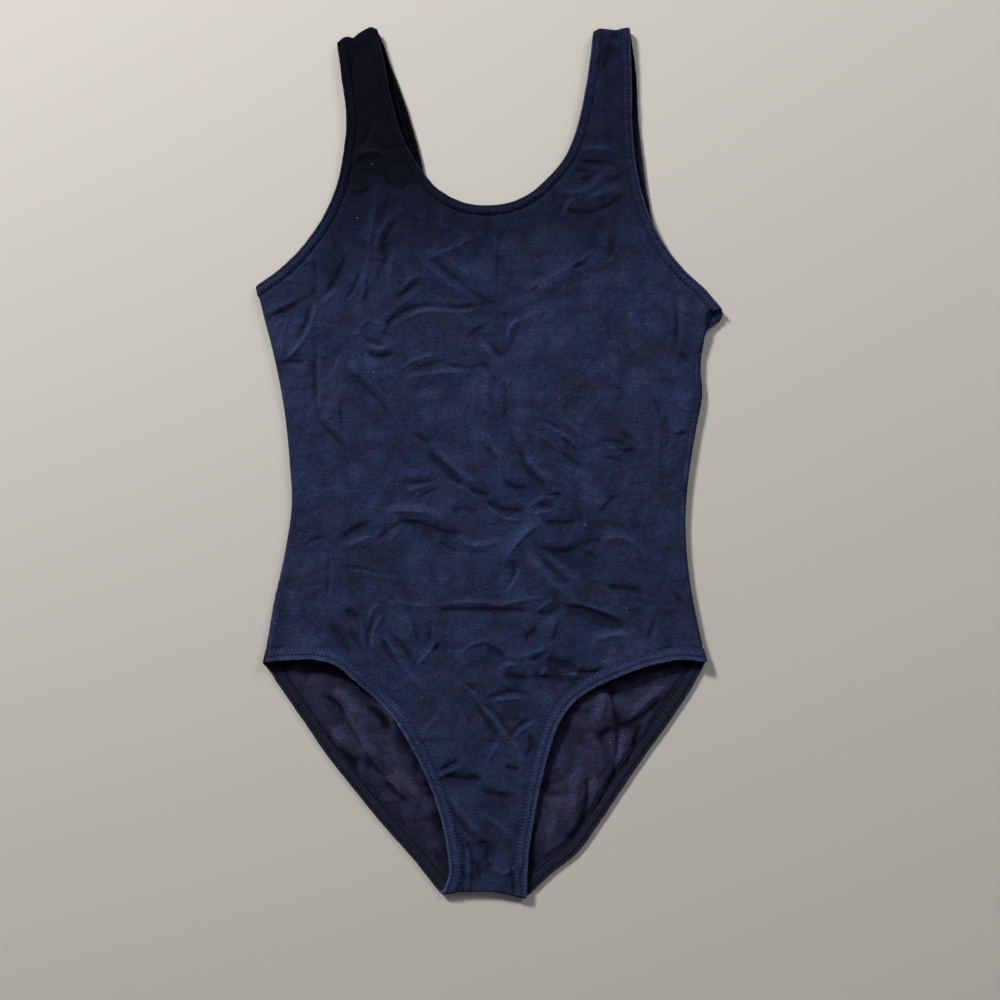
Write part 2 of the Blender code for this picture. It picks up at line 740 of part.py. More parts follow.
def make_layer(layer, cuts, spacing, cloth, edging):
    """One layer of the garment: its hems, and the panel that fills the space between them."""
    left = side_seam(-1, layer, SIDE_SEAM_FROM, LEFT_SEAM_TO)
    right = side_seam(1, layer, SIDE_SEAM_FROM, RIGHT_SEAM_TO)
    shoulder_left, shoulder_right = end_seam("left shoulder"), end_seam("right shoulder")
    crotch = end_seam("crotch")
    plans = [
        ("neck_hem", "neck", shoulder_left, shoulder_right, -1, NECK_HEM_WIDTH),
        ("armhole_hem_left", "left armhole", shoulder_left, left, 1, ARMHOLE_HEM_WIDTH),
        ("armhole_hem_right", "right armhole", shoulder_right, right, -1, ARMHOLE_HEM_WIDTH),
        ("leg_hem_left", "left leg", left, crotch, 1, LEG_HEM_WIDTH),
        ("leg_hem_right", "right leg", right, crotch, -1, LEG_HEM_WIDTH),
    ]
    beside = {}
    for name, cut, start, finish, inward, width in plans:
        outer, inner, panel = hem_edges(cuts[cut], inward, width, start, finish)
        make_hem(f"{name}_{layer}", outer, inner, width, layer, inward, edging)
        beside[cut] = panel
    outline = [beside["neck"][::-1][:-1]]
    outline.append(seam_between(shoulder_left, beside["neck"], beside["left armhole"], 0, 0))
    outline.append(beside["left armhole"][:-1])
    outline.append(seam_between(left, beside["left armhole"], beside["left leg"], -1, 0))
    outline.append(beside["left leg"][:-1])
    outline.append(seam_between(crotch, beside["left leg"], beside["right leg"], -1, -1))
    outline.append(beside["right leg"][::-1][:-1])
    outline.append(seam_between(right, beside["right leg"], beside["right armhole"], 0, -1))
    outline.append(beside["right armhole"][::-1][:-1])
    outline.append(
        seam_between(shoulder_right, beside["right armhole"], beside["neck"], 0, -1)
    )
    make_panel(f"{layer}_panel", np.vstack(outline), layer, spacing, cloth)


def seam_between(seam, first, second, first_end, second_end):
    """The stretch of a seam from one panel edge's end to another's, without its last point."""
    start, finish = first[first_end], second[second_end]
    at = [np.argmin(np.linalg.norm(seam - p, axis=1)) for p in (start, finish)]
    spared = SEAM_STEP // 2
    low, high = min(at) + spared, max(at) - spared
    middle = seam[[i for i in range(0, len(seam), SEAM_STEP) if low < i < high]]
    if at[0] > at[1]:
        middle = middle[::-1]
    return np.vstack([start, middle])


def main():
    for old in list(bpy.data.objects):
        bpy.data.objects.remove(old, do_unlink=True)
    jersey = material("navy jersey", (0.125, 0.160, 0.250), 0.85)
    jersey_inside = material("navy jersey inside", (0.120, 0.135, 0.205), 0.9)
    edging = material("navy jersey over elastic", (0.140, 0.185, 0.285), 0.8)
    edging_inside = material("navy jersey over elastic inside", (0.130, 0.150, 0.225), 0.85)
    front_cuts = {
        "neck": FRONT_NECK,
        "left armhole": FRONT_LEFT_ARMHOLE,
        "right armhole": FRONT_RIGHT_ARMHOLE,
        "left leg": FRONT_LEFT_LEG,
        "right leg": FRONT_RIGHT_LEG,
    }
    back_cuts = {
        "neck": BACK_NECK,
        "left armhole": BACK_LEFT_ARMHOLE,
        "right armhole": BACK_RIGHT_ARMHOLE,
        "left leg": BACK_LEFT_LEG,
        "right leg": BACK_RIGHT_LEG,
    }
    make_layer("front", front_cuts, FRONT_GRID, jersey, edging)
    make_layer("back", back_cuts, BACK_GRID, jersey_inside, edging_inside)


main()
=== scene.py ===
# A dance leotard of navy jersey, laid flat on its back and seen from straight above.
# The tables are in millimetres, with X to the right, Y to the shoulders and Z up from the floor.
# Left and right are the viewer's. Meshes are written in metres.

from collections import namedtuple

import bpy
import numpy as np
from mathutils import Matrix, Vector
from mathutils.geometry import delaunay_2d_cdt


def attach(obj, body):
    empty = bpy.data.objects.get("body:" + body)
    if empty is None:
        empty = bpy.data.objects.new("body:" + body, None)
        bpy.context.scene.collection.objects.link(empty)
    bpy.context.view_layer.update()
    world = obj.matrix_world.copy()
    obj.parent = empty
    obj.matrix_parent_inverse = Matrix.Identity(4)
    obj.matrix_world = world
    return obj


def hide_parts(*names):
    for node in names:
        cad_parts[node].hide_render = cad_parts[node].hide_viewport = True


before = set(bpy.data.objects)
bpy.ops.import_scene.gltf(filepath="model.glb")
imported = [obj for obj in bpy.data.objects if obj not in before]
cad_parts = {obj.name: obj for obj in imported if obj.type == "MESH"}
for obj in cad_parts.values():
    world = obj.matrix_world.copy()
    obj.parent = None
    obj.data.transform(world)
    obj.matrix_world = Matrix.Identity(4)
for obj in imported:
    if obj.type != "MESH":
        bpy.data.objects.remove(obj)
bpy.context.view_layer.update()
print("frame loaded")

mm = 0.001
halfFold = np.pi / 2
backWrap = np.pi
tiny = 1e-12
samePlace = 1e-6
farAway = 1000.0
farUp = 400.0
white, black = (1, 1, 1), (0, 0, 0)

SideRow = namedtuple("SideRow", "height reach lift roll")
Puff = namedtuple("Puff", "x y halfWidth halfHeight rise")
Crease = namedtuple("Crease", "x1 y1 x2 y2 bow spread rise")
Waver = namedtuple("Waver", "size height seed")
HemPlan = namedtuple("HemPlan", "label cut kind node start finish inward")
RimPart = namedtuple("RimPart", "cut turned seam")

# How the tube lies: its folded sides, shoulders and crotch
lyingForm = {
    "foldLift": 5.2,
    "curveStep": 1.0,
    "coarseStep": 3.0,
    "seamGap": 0.1,
    "sideFade": 5.0,
    "endFade": 7.0,
    "edgeOverrun": 20.0,
    "sideSeamEnd": -149.0,
    "underarms": {-1: 133.0, 1: 119.0},
    # from the chest up to the straps, where hems and seams are looser
    "straps": (185, 235),
    # height, how far out the fold reaches, how high it stands, how far the seam rolled to the top
    "leftSide": [
        (134, 166.2, 5.2, 0.0), (122, 163.5, 5.2, 0.0), (105, 159.4, 5.2, 0.0),
        (72, 151.0, 5.4, 0.0), (38, 144.6, 5.2, 0.0), (0, 140.6, 5.2, 0.0),
        (-29, 139.2, 5.2, 0.0), (-63, 144.0, 5.4, 0.4), (-96, 151.0, 6.4, 2.0),
        (-128, 156.2, 8.4, 5.0), (-150, 161.2, 9.0, 6.0),
    ],
    "rightSide": [
        (120, 164.6, 5.2, 0.0), (106, 163.9, 5.2, 0.0), (101.5, 162.9, 5.0, 0.0),
        (98.5, 160.4, 5.0, 0.0), (95.5, 156.4, 5.0, 0.0), (92.5, 153.2, 5.2, 0.2),
        (87, 151.3, 5.2, 0.8), (82, 150.4, 5.2, 1.6), (78, 149.4, 5.2, 2.8),
        (72, 148.5, 5.2, 4.4), (66, 148.2, 5.2, 5.6), (50, 149.4, 5.2, 6.4), (22, 144.8, 5.2, 6.0),
        (-10, 139.8, 5.2, 5.6), (-42, 137.6, 5.2, 5.6), (-80, 140.2, 5.6, 5.4),
        (-118, 147.2, 7.2, 2.4), (-150, 154.8, 9.0, 0.0),
    ],
    # x, height of the fold
    "left shoulder": [
        (-116, 284.0), (-109, 290.5), (-106, 294.8), (-102.5, 297.8), (-98.5, 298.9),
        (-96.0, 297.9), (-93.5, 299.9), (-89, 303.0), (-84, 305.2), (-80.5, 304.8),
        (-77.5, 301.6), (-74, 296.0), (-66, 286.0),
    ],
    "right shoulder": [
        (62, 294.0), (70, 299.0), (74, 302.8), (78, 304.3), (84, 304.0), (88, 303.6), (92, 304.2),
        (97, 304.8), (100.5, 303.0), (104, 297.5), (112, 290.0),
    ],
    "crotch": [
        (-44, -302.8), (-32, -302.2), (-14, -301.4), (2, -301.6), (14, -303.6), (24, -305.3),
        (36, -305.9),
    ],
}

# The cut edges of the front and of the back, as x and y
cutEdges = {
    "front": {
        "neck": [
            (-78.3, 303.5), (-73.9, 281.8), (-68.3, 253.8), (-60.6, 227.9), (-49.4, 207.4),
            (-37.0, 192.4), (-21.0, 183.2), (0.0, 180.3), (20.5, 184.4), (38.9, 197.4),
            (53.2, 214.6), (60.4, 232.0), (66.2, 256.6), (70.2, 281.8), (72.5, 302.4),
        ],
        "left armhole": [
            (-106.8, 294.0), (-103.3, 267.8), (-100.2, 240.0), (-102.4, 216.0), (-108.0, 191.0),
            (-117.0, 171.0), (-131.0, 150.8), (-146.5, 135.8), (-163.5, 123.6),
        ],
        "right armhole": [
            (98.4, 303.0), (99.6, 268.0), (100.2, 233.0), (103.3, 204.8), (110.0, 178.0),
            (120.5, 155.5), (135.0, 136.2), (150.2, 122.0), (163.5, 106.4),
        ],
        "left leg": [
            (-159.4, -139.8), (-141.0, -137.9), (-121.0, -137.4), (-108.0, -140.6),
            (-93.5, -153.0), (-79.5, -165.6), (-66.0, -180.2), (-54.5, -199.0),
            (-42.6, -224.0), (-34.2, -249.0), (-29.4, -272.0), (-28.4, -289.0), (-33.6, -302.6),
        ],
        "right leg": [
            (151.8, -139.4), (133.0, -137.8), (112.4, -141.2), (91.4, -148.8), (72.5, -158.2),
            (56.0, -171.0), (47.4, -184.6), (41.4, -203.0), (35.6, -226.0), (31.2, -250.0),
            (27.8, -272.0), (26.0, -304.9),
        ],
    },
    "back": {
        "neck": [
            (-77.2, 303.0), (-70.4, 281.8), (-60.6, 256.0), (-52.9, 231.4), (-46.6, 206.0),
            (-43.4, 178.0), (-37.0, 148.0), (-20.0, 121.0), (4.0, 108.4), (30.0, 117.0),
            (54.0, 137.0), (70.0, 165.0), (75.5, 200.0), (76.0, 250.0), (73.6, 303.0),
        ],
        "left armhole": [
            (-105.6, 294.0), (-99.0, 268.0), (-94.0, 240.0), (-95.0, 214.0), (-101.0, 188.0),
            (-112.0, 168.0), (-128.0, 148.4), (-145.0, 134.6), (-163.5, 123.0),
        ],
        "right armhole": [
            (99.0, 303.0), (103.0, 274.0), (104.8, 240.0), (107.6, 215.0), (111.0, 190.0),
            (117.4, 162.0), (131.0, 138.0), (147.5, 121.5), (163.5, 105.8),
        ],
        "left leg": [
            (-178.0, -139.4), (-164.5, -139.4), (-157.0, -144.0), (-149.0, -155.4),
            (-132.0, -180.0), (-114.5, -205.5), (-94.5, -231.0), (-73.9, -256.0),
            (-56.0, -276.0), (-34.0, -303.6),
        ],
        "right leg": [
            (160.0, -138.8), (154.0, -139.4), (149.4, -145.6), (143.9, -155.2), (127.8, -180.2),
            (109.6, -205.4), (92.2, -230.8), (76.0, -255.0), (62.0, -274.0), (45.0, -287.6),
            (26.4, -304.9),
        ],
    },
}

# x1, y1, x2, y2, bow to the left, spread, rise (a groove where it is below 0)
frontCreases = [
    # strap on the left
    (-92.8, 288.8, -94.8, 258.6, -2.4, 3.1, -0.7), (-86.4, 292.9, -85.8, 278.9, 1.8, 2.1, -0.4),
    (-90.6, 253.7, -85.8, 246.0, 1.2, 1.8, -0.5), (-82.9, 241.8, -91.3, 220.1, 2.7, 1.4, -0.7),
    (-80.1, 240.4, -87.1, 219.4, 2.7, 1.4, 0.4), (-98.3, 207.5, -71.0, 214.5, 5.2, 4.2, 0.9),
    (-97.6, 188.6, -80.8, 194.9, -3.2, 2.1, -0.6), (-72.4, 204.0, -61.2, 190.8, -3.2, 1.7, -0.7),
    (-61.2, 190.8, -57.0, 195.6, -0.2, 1.3, -0.5),
    # chest on the left
    (-73.8, 141.8, -62.6, 169.0, 4.5, 1.4, -1.1), (-78.0, 143.1, -67.5, 172.5, 3.9, 1.7, 0.7),
    (-56.3, 173.9, -47.2, 166.2, 0.6, 1.3, -0.4), (-43.8, 180.9, -36.0, 170.4, -0.1, 1.1, -0.5),
    (-62.6, 188.6, -62.6, 171.1, 1.4, 1.8, 0.4), (-78.0, 192.8, -82.9, 152.2, -0.2, 2.1, 0.5),
    (-70.3, 187.2, -76.6, 162.8, 0.1, 1.5, -0.35), (-40.9, 142.4, -6.6, 159.9, -0.4, 1.8, 0.9),
    (-37.4, 169.0, -6.6, 159.9, -3.6, 1.2, 0.35), (-39.5, 141.8, -13.6, 121.4, -0.4, 1.5, -1.3),
    (-13.6, 121.4, 5.9, 109.5, -1.3, 1.7, -0.5), (-34.6, 146.6, -10.8, 127.7, -0.6, 2.1, 0.6),
    (-46.5, 140.3, -19.2, 117.9, -0.9, 2.1, 0.5), (-90.6, 111.6, -84.3, 147.3, -0.9, 1.2, 1.1),
    (-84.3, 147.3, -78.8, 181.6, 0.0, 1.5, 0.5), (-87.8, 111.6, -84.3, 120.0, 0.3, 1.2, -0.8),
    (-78.8, 127.0, -68.9, 149.4, 0.9, 1.3, -1.4), (-74.5, 144.5, -70.3, 154.3, 0.0, 1.1, -0.8),
    (-68.9, 124.2, -64.8, 147.3, 2.1, 2.1, 0.7), (-116.5, 116.5, -100.4, 145.9, -2.5, 1.8, -0.9),
    (-117.9, 109.5, -107.4, 119.3, 0.3, 1.1, 0.5), (-101.1, 114.4, -91.3, 134.8, -2.3, 1.3, -1.2),
    (-97.6, 113.7, -88.5, 131.2, -1.7, 1.3, 0.5), (-162.0, 100.4, -130.5, 113.7, -2.2, 1.5, -0.9),
    (-130.5, 113.7, -121.4, 121.4, -1.0, 1.3, -0.9), (-159.2, 103.9, -132.7, 116.5, -1.2, 1.7, 0.5),
    (-148.0, 72.4, -141.8, 101.1, -0.3, 1.2, 0.9), (-153.6, 92.0, -143.1, 100.4, -0.3, 1.2, 0.5),
    (-135.4, 84.3, -124.9, 111.6, -1.9, 1.6, -1.3), (-139.6, 73.1, -121.4, 109.5, -3.4, 1.7, 1),
    (-146.6, 71.0, -131.9, 82.9, -1.7, 1.2, 0.7), (-145.9, 69.6, -129.8, 71.0, 0.0, 1.8, -0.9),
    (-143.8, 67.5, -128.4, 63.3, 1.4, 1.1, 0.5), (-158.5, 87.1, -149.4, 70.3, -0.9, 1.5, -0.5),
    (-122.1, 144.5, -122.1, 113.7, 0.7, 1.2, -0.8), (-121.4, 82.2, -120.7, 32.5, -1.0, 1.2, -0.9),
    (-117.9, 82.2, -117.2, 32.5, -1.0, 1.5, 0.4),
    # chest in the middle
    (-61.2, 120.7, -47.9, 131.2, 1.5, 1.2, 0.8), (-47.9, 131.2, -41.6, 124.9, 1.5, 1.1, 0.5),
    (-66.1, 115.1, -47.9, 127.7, -0.8, 1.7, -0.9), (-71.0, 104.6, -47.9, 121.4, -0.7, 1.2, 0.7),
    (-71.0, 96.2, -66.1, 101.8, 0.3, 1.2, -0.7), (-73.8, 87.8, -70.3, 99.0, 0.1, 1.3, -1),
    (-70.3, 96.9, -36.8, 109.5, 4.7, 1.5, -0.7), (-36.8, 109.5, -1.8, 111.6, -2.4, 1.8, -0.7),
    (-62.6, 99.0, -19.2, 104.6, 4.0, 2.0, 0.6), (-19.2, 104.6, -5.9, 112.3, -1.8, 1.5, 0.5),
    (-97.6, 92.0, -90.6, 92.8, -3.1, 1.1, 0.6), (-90.6, 92.8, -80.8, 99.0, 2.6, 1.4, 0.9),
    (-80.8, 99.0, -72.4, 90.6, 1.0, 1.2, 0.7), (-87.1, 87.1, -72.4, 82.2, -1.1, 1.3, -1.2),
    (-85.8, 77.3, -66.1, 77.3, -3.5, 2.2, -1), (-85.8, 81.5, -71.0, 79.4, -1.0, 1.1, 0.6),
    (-63.3, 64.0, -36.0, 75.2, 2.6, 1.3, 1.1), (-54.9, 63.3, -33.2, 70.3, 1.2, 1.2, -1.2),
    (-33.2, 70.3, -9.4, 66.1, -1.5, 1.3, -0.8), (-54.9, 59.8, -13.6, 61.9, 1.9, 1.3, 0.6),
    (-6.6, 70.3, 1.8, 61.2, 0.7, 1.5, -1.8), (1.8, 61.2, 5.2, 55.6, 0.1, 1.2, -0.7),
    (-1.0, 57.7, -1.8, 35.3, -1.1, 1.2, 0.5), (2.4, 57.7, 2.4, 36.0, -0.7, 1.2, -0.4),
    (-15.7, 87.1, -1.8, 96.2, 0.7, 1.3, -0.8), (-3.8, 87.1, 10.1, 73.1, -0.5, 1.5, -0.8),
    (-6.6, 82.2, 7.3, 68.9, 0.3, 1.8, 0.5), (12.2, 86.4, 24.1, 100.4, 3.3, 1.8, 0.8),
    (24.1, 100.4, 36.0, 104.6, 0.1, 1.4, 0.5), (10.8, 74.5, 20.6, 96.2, -0.7, 1.7, -0.5),
    (7.3, 157.8, 6.6, 113.7, -1.0, 1.2, -0.45), (10.1, 113.7, 10.8, 73.8, 0.3, 1.2, -0.3),
    (11.5, 57.7, 10.8, 29.7, 0.3, 1.4, -0.5),
    # belly on the left
    (-101.1, 65.5, -72.4, 38.8, 0.3, 1.4, -0.6), (-97.6, 67.5, -68.9, 42.3, 0.3, 1.7, 0.4),
    (-119.3, 29.0, -100.4, 9.4, 0.2, 1.3, -0.8), (-115.8, 31.8, -96.9, 12.2, 0.2, 1.4, 0.4),
    (-103.2, 44.4, -102.5, 22.0, -1.0, 1.3, -0.8), (-111.6, 58.4, -103.9, 75.9, -0.7, 1.3, 0.5),
    (-55.6, 20.6, -41.6, 12.9, 0.9, 1.5, -0.6), (-40.2, 5.2, -20.6, -12.9, 0.5, 1.7, -0.8),
    (-41.6, 7.3, -13.6, -18.5, -2.9, 1.4, -1.4), (-13.6, -18.5, -0.3, -22.8, -1.4, 1.7, -1.6),
    (-36.8, 9.4, -8.0, -15.0, -2.2, 1.8, 0.7), (-26.2, -14.3, -5.2, -26.2, 0.0, 1.5, 0.6),
    (-61.9, -13.6, -37.4, -12.2, -1.5, 2.1, -0.7), (-48.6, -24.1, -33.9, -17.8, 0.6, 1.5, -0.9),
    (-58.4, -21.3, -41.6, -15.0, 0.3, 1.5, 0.7), (-29.0, -34.6, -8.0, -34.6, 1.4, 2.1, -0.5),
    (-104.6, -54.9, -80.8, -41.6, 1.6, 2.2, -0.7), (-79.4, -54.9, -61.2, -41.6, 0.7, 1.3, -1.3),
    (-62.6, -41.6, -40.2, -47.2, 1.7, 2.4, -1.5), (-41.6, -44.4, -19.2, -49.3, -2.4, 2.0, -1),
    (-72.4, -34.6, -34.6, -38.1, 2.4, 3.5, 1.1), (-74.5, -54.9, -63.3, -45.8, -2.6, 1.3, 0.5),
    (-101.8, -60.5, -78.0, -51.4, 1.7, 1.7, 0.5), (-131.2, -59.8, -111.6, -51.4, 1.7, 1.3, -0.6),
    (-34.6, -56.3, -20.6, -62.6, -0.4, 1.2, -0.5), (-20.6, -54.2, 7.3, -54.2, -4.2, 2.1, 0.6),
    (-103.9, -73.8, -76.6, -78.0, 2.0, 1.1, -0.5), (-97.6, -75.9, -69.6, -81.5, 0.7, 1.2, 0.5),
    (-112.3, -68.2, -114.4, -97.6, 0.3, 1.2, -0.5), (-109.5, -70.3, -110.9, -96.2, 0.0, 1.2, 0.3),
    # chest on the right
    (24.1, 119.3, 54.2, 136.1, -0.4, 1.2, 0.6), (54.2, 136.1, 72.4, 148.0, -0.9, 1.1, 0.9),
    (30.4, 119.3, 38.8, 127.0, 0.7, 1.3, -1), (58.4, 136.1, 68.9, 140.3, -0.8, 1.3, -0.5),
    (49.3, 174.6, 55.6, 185.8, 1.3, 1.3, -1), (52.8, 172.5, 58.4, 184.4, 0.8, 1.2, 0.7),
    (63.3, 218.8, 90.6, 215.9, 1.4, 1.8, 1), (63.3, 211.0, 81.5, 208.9, -0.6, 2.1, -1.2),
    (81.5, 209.6, 90.6, 206.1, 0.9, 1.2, -0.8), (59.1, 203.3, 71.0, 201.9, 1.3, 1.5, -0.6),
    (64.8, 197.0, 75.9, 203.3, -0.9, 1.5, -0.7), (52.8, 188.6, 77.3, 197.8, -4.1, 2.4, 0.6),
    (80.1, 196.3, 93.4, 201.9, -1.4, 1.7, -0.6), (54.9, 176.8, 75.9, 176.0, -2.3, 2.2, -0.9),
    (75.9, 176.0, 94.1, 187.2, -1.0, 1.8, -0.8), (70.3, 184.4, 91.3, 192.8, -0.3, 2.1, 0.6),
    (85.8, 157.1, 85.0, 143.1, 0.4, 2.4, -0.6), (84.3, 138.9, 89.2, 149.4, 0.2, 1.2, 0.7),
    (85.8, 292.2, 77.3, 271.9, 1.4, 2.8, -0.7), (75.9, 70.3, 92.8, 51.4, 0.3, 1.2, 0.7),
    (129.2, 113.7, 129.2, 78.8, 2.1, 1.4, -0.7), (132.7, 111.6, 132.7, 77.3, 2.1, 1.5, 0.4),
    (133.3, 77.3, 138.9, 70.3, 0.0, 1.5, -0.7), (115.8, 43.8, 119.3, 32.5, 0.3, 1.8, -0.8),
    (120.7, 29.7, 121.4, -19.2, -1.0, 1.4, -0.4), (130.5, 17.8, 141.8, 20.6, 0.7, 1.3, -0.7),
    (127.7, 20.6, 140.3, 24.1, 0.3, 1.3, 0.4),
    # belly on the right
    (26.9, 22.0, 53.5, 1.8, 2.4, 1.4, 0.9), (35.3, 17.8, 67.5, -3.1, -1.7, 1.3, -1.2),
    (38.8, 26.2, 64.8, 6.6, 2.2, 1.5, 1), (37.4, 29.7, 50.8, 22.0, 0.7, 1.3, -0.7),
    (50.0, 17.1, 63.3, 7.3, 0.4, 1.2, -0.7), (51.4, 30.4, 64.8, 17.1, 0.5, 1.4, 0.7),
    (77.3, 15.0, 94.8, 12.9, 1.0, 1.3, -0.7), (92.8, 20.6, 101.1, 15.0, 0.2, 1.2, -0.6),
    (80.8, 11.5, 95.5, 5.2, 0.2, 1.5, 0.6), (87.8, 8.8, 102.5, 8.8, -1.4, 1.8, -1),
    (80.1, 2.4, 92.8, 0.3, 1.3, 1.4, -0.8), (15.0, 21.3, 25.5, -1.8, 0.1, 1.8, -0.6),
    (22.0, 1.0, 40.9, -17.1, -1.7, 1.8, -1), (25.5, 3.8, 45.1, -13.6, -1.2, 1.8, 0.6),
    (-3.1, 20.6, 8.0, 1.0, 0.7, 1.3, 0.7), (-6.6, 15.7, 7.3, -0.3, -0.3, 1.2, -0.8),
    (-3.8, -26.2, 26.2, -33.2, -3.6, 1.8, -1.1), (-5.2, -26.2, 26.2, -39.5, -5.8, 1.4, 0.7),
    (8.8, -10.8, 27.6, -17.8, -3.5, 2.2, -0.7), (26.2, -33.2, 46.5, -24.1, 2.7, 1.3, 0.8),
    (26.9, -34.6, 49.3, -29.7, -2.5, 1.5, 0.6), (38.8, -24.1, 50.8, -23.4, 1.1, 1.4, -0.7),
    (34.6, -29.7, 47.2, -32.5, 0.0, 1.5, -0.8), (37.4, -40.9, 63.3, -40.2, -2.4, 1.8, -0.8),
    (77.3, -36.8, 89.2, -23.4, 1.2, 1.7, -1), (12.9, -66.8, 35.3, -43.0, 2.5, 3.5, 1.2),
    (15.7, -68.2, 11.5, -87.8, 3.6, 1.8, -1.2), (22.0, -72.4, 12.9, -90.6, 0.9, 1.7, 0.6),
    (30.4, -59.1, 57.7, -86.4, -1.5, 1.5, -1.4), (57.7, -86.4, 64.8, -94.8, 0.5, 1.3, -0.5),
    (35.3, -58.4, 63.3, -85.0, -0.9, 2.0, 0.5), (28.3, -65.5, 53.5, -92.0, -2.1, 2.1, 0.7),
    (31.1, -56.3, 64.8, -57.7, -6.5, 3.1, -1.3), (67.5, -57.7, 78.8, -54.9, 1.4, 1.3, -1),
    (79.4, -54.2, 105.3, -60.5, 4.5, 2.4, 0.7), (65.5, -62.6, 77.3, -68.2, 0.1, 1.4, -0.7),
    (54.9, -97.6, 91.3, -108.8, 1.2, 1.8, 1), (53.5, -100.4, 92.8, -115.8, 1.0, 3.5, -1.2),
    (80.8, -87.8, 106.8, -90.6, 1.1, 2.2, -0.8), (127.7, -89.2, 136.1, -100.4, 0.0, 1.5, -0.6),
    # the star on the left hip
    (-64.0, -96.9, -43.0, -100.4, -1.2, 1.2, 0.9), (-34.6, -100.4, 7.3, -99.8, 2.4, 1.3, 0.7),
    (7.3, -99.8, 36.8, -94.8, 0.5, 1.3, 0.6), (-34.6, -103.2, 32.5, -103.9, 0.3, 1.8, -1),
    (-83.6, -110.2, -76.6, -99.0, 1.8, 1.5, 0.8), (-84.3, -131.2, -79.4, -107.4, 2.5, 1.3, -0.7),
    (-80.1, -132.7, -75.2, -107.4, 3.4, 1.3, 0.7), (-73.1, -121.4, -61.2, -141.0, 0.2, 1.5, 1),
    (-61.2, -141.0, -45.8, -158.5, -0.3, 1.3, 0.7), (-75.2, -124.2, -62.6, -143.8, -0.6, 1.2, -0.8),
    (-68.9, -120.0, -53.5, -139.6, 1.1, 1.2, -0.9), (-51.4, -143.1, -36.8, -124.2, -0.9, 1.2, 1),
    (-39.5, -120.0, -36.0, -106.8, 1.5, 1.1, 0.7), (-41.6, -125.6, -38.1, -108.1, 1.2, 1.2, -0.8),
    (-38.8, -132.7, -36.0, -126.3, -0.1, 1.4, -0.9), (-54.2, -110.2, -49.3, -125.6, 0.1, 1.2, -0.7),
    (-61.2, -106.0, -52.8, -117.2, 0.8, 1.3, 0.6), (-99.8, -103.2, -91.3, -108.8, -0.8, 2.1, -0.8),
    (-111.6, -114.4, -96.2, -134.8, 1.0, 2.4, -0.5), (-97.6, -115.8, -87.8, -132.7, -0.6, 1.7, -0.5),
    # lower front on the right
    (32.5, -104.6, 45.1, -96.2, 0.4, 1.3, 0.8), (30.4, -105.3, 49.3, -100.4, -2.8, 1.3, -0.8),
    (115.8, -110.2, 110.9, -124.2, 0.1, 1.8, -0.7), (26.2, -124.2, 33.2, -115.8, 0.0, 1.7, -0.9),
    (44.4, -125.6, 49.3, -111.6, 0.3, 1.3, -0.6), (73.8, -124.2, 98.3, -120.0, 1.0, 3.5, 0.7),
    (-1.8, -129.8, 11.5, -138.2, 1.7, 1.4, -0.9), (10.8, -138.2, 40.9, -132.7, -4.2, 1.5, -1.2),
    (10.8, -134.8, 38.8, -129.2, -3.0, 1.8, 0.5), (40.9, -138.2, 59.8, -143.8, -1.6, 3.1, -1.2),
    (59.8, -145.2, 80.1, -142.4, -3.5, 2.1, -1.2), (54.2, -150.8, 64.8, -150.1, -2.5, 1.3, -1.1),
    (49.3, -146.6, 63.3, -145.9, -2.4, 1.2, 0.6), (35.3, -149.4, 39.5, -143.1, -0.8, 1.1, 1),
    (10.8, -148.0, 28.3, -151.5, -1.6, 2.1, -0.8), (28.3, -150.8, 50.8, -151.5, 0.3, 1.7, -0.7),
    (7.3, -143.8, 33.9, -140.3, 1.6, 2.4, 0.7), (-1.0, -165.5, 27.6, -162.0, 3.0, 1.3, -1),
    (-1.0, -168.3, 25.5, -165.5, 1.7, 1.4, 0.5), (15.7, -190.0, 28.3, -179.5, 1.2, 1.3, -1.1),
    (17.1, -192.8, 31.1, -181.6, 0.9, 1.3, 0.6), (-20.6, -132.7, 1.8, -124.2, 1.6, 1.4, 0.5),
    (28.3, -190.8, 26.9, -206.1, 2.0, 1.7, -0.9), (11.5, -211.8, 21.3, -214.5, -1.5, 1.8, -0.9),
    # long ridge towards the crotch
    (-24.1, -153.6, -5.2, -170.4, 2.8, 1.3, 1.5), (-5.2, -170.4, 14.3, -194.2, 0.6, 1.8, 1.6),
    (14.3, -194.2, 24.1, -213.8, 1.9, 1.5, 0.9), (-19.2, -155.0, -9.4, -159.9, 0.6, 1.2, -0.8),
    (-9.4, -169.0, 7.3, -194.2, -0.2, 1.4, -0.8), (-1.8, -169.0, 17.1, -194.2, 0.6, 1.3, -0.8),
    (7.3, -194.9, -3.1, -212.4, -0.4, 1.3, 0.5), (-45.1, -189.3, -34.6, -177.4, 1.4, 1.5, 0.6),
    # crotch
    (-34.6, -215.2, -22.0, -207.5, -0.9, 1.3, -1.6), (-39.5, -221.5, -19.2, -211.8, -0.5, 1.2, 1.2),
    (-32.5, -218.8, -5.9, -220.8, -2.4, 2.9, -1.4), (-5.9, -229.2, 16.4, -233.4, -1.4, 2.1, -0.5),
    (-29.0, -238.3, -8.0, -264.9, -1.5, 1.3, -1.7), (-25.5, -236.2, -3.8, -262.8, -0.9, 2.1, 0.6),
    (-8.0, -264.9, -1.8, -278.9, 3.8, 2.1, -1), (-1.8, -278.9, 2.4, -279.6, -3.2, 1.5, -1),
    (4.5, -283.8, 15.7, -283.8, -3.5, 1.4, 0.7), (-6.6, -244.6, 15.7, -262.8, 1.2, 1.8, 0.5),
    (-23.4, -258.6, -17.1, -286.6, 2.7, 1.2, -1.2), (-17.1, -286.6, -20.6, -301.3, 0.9, 1.2, -1.2),
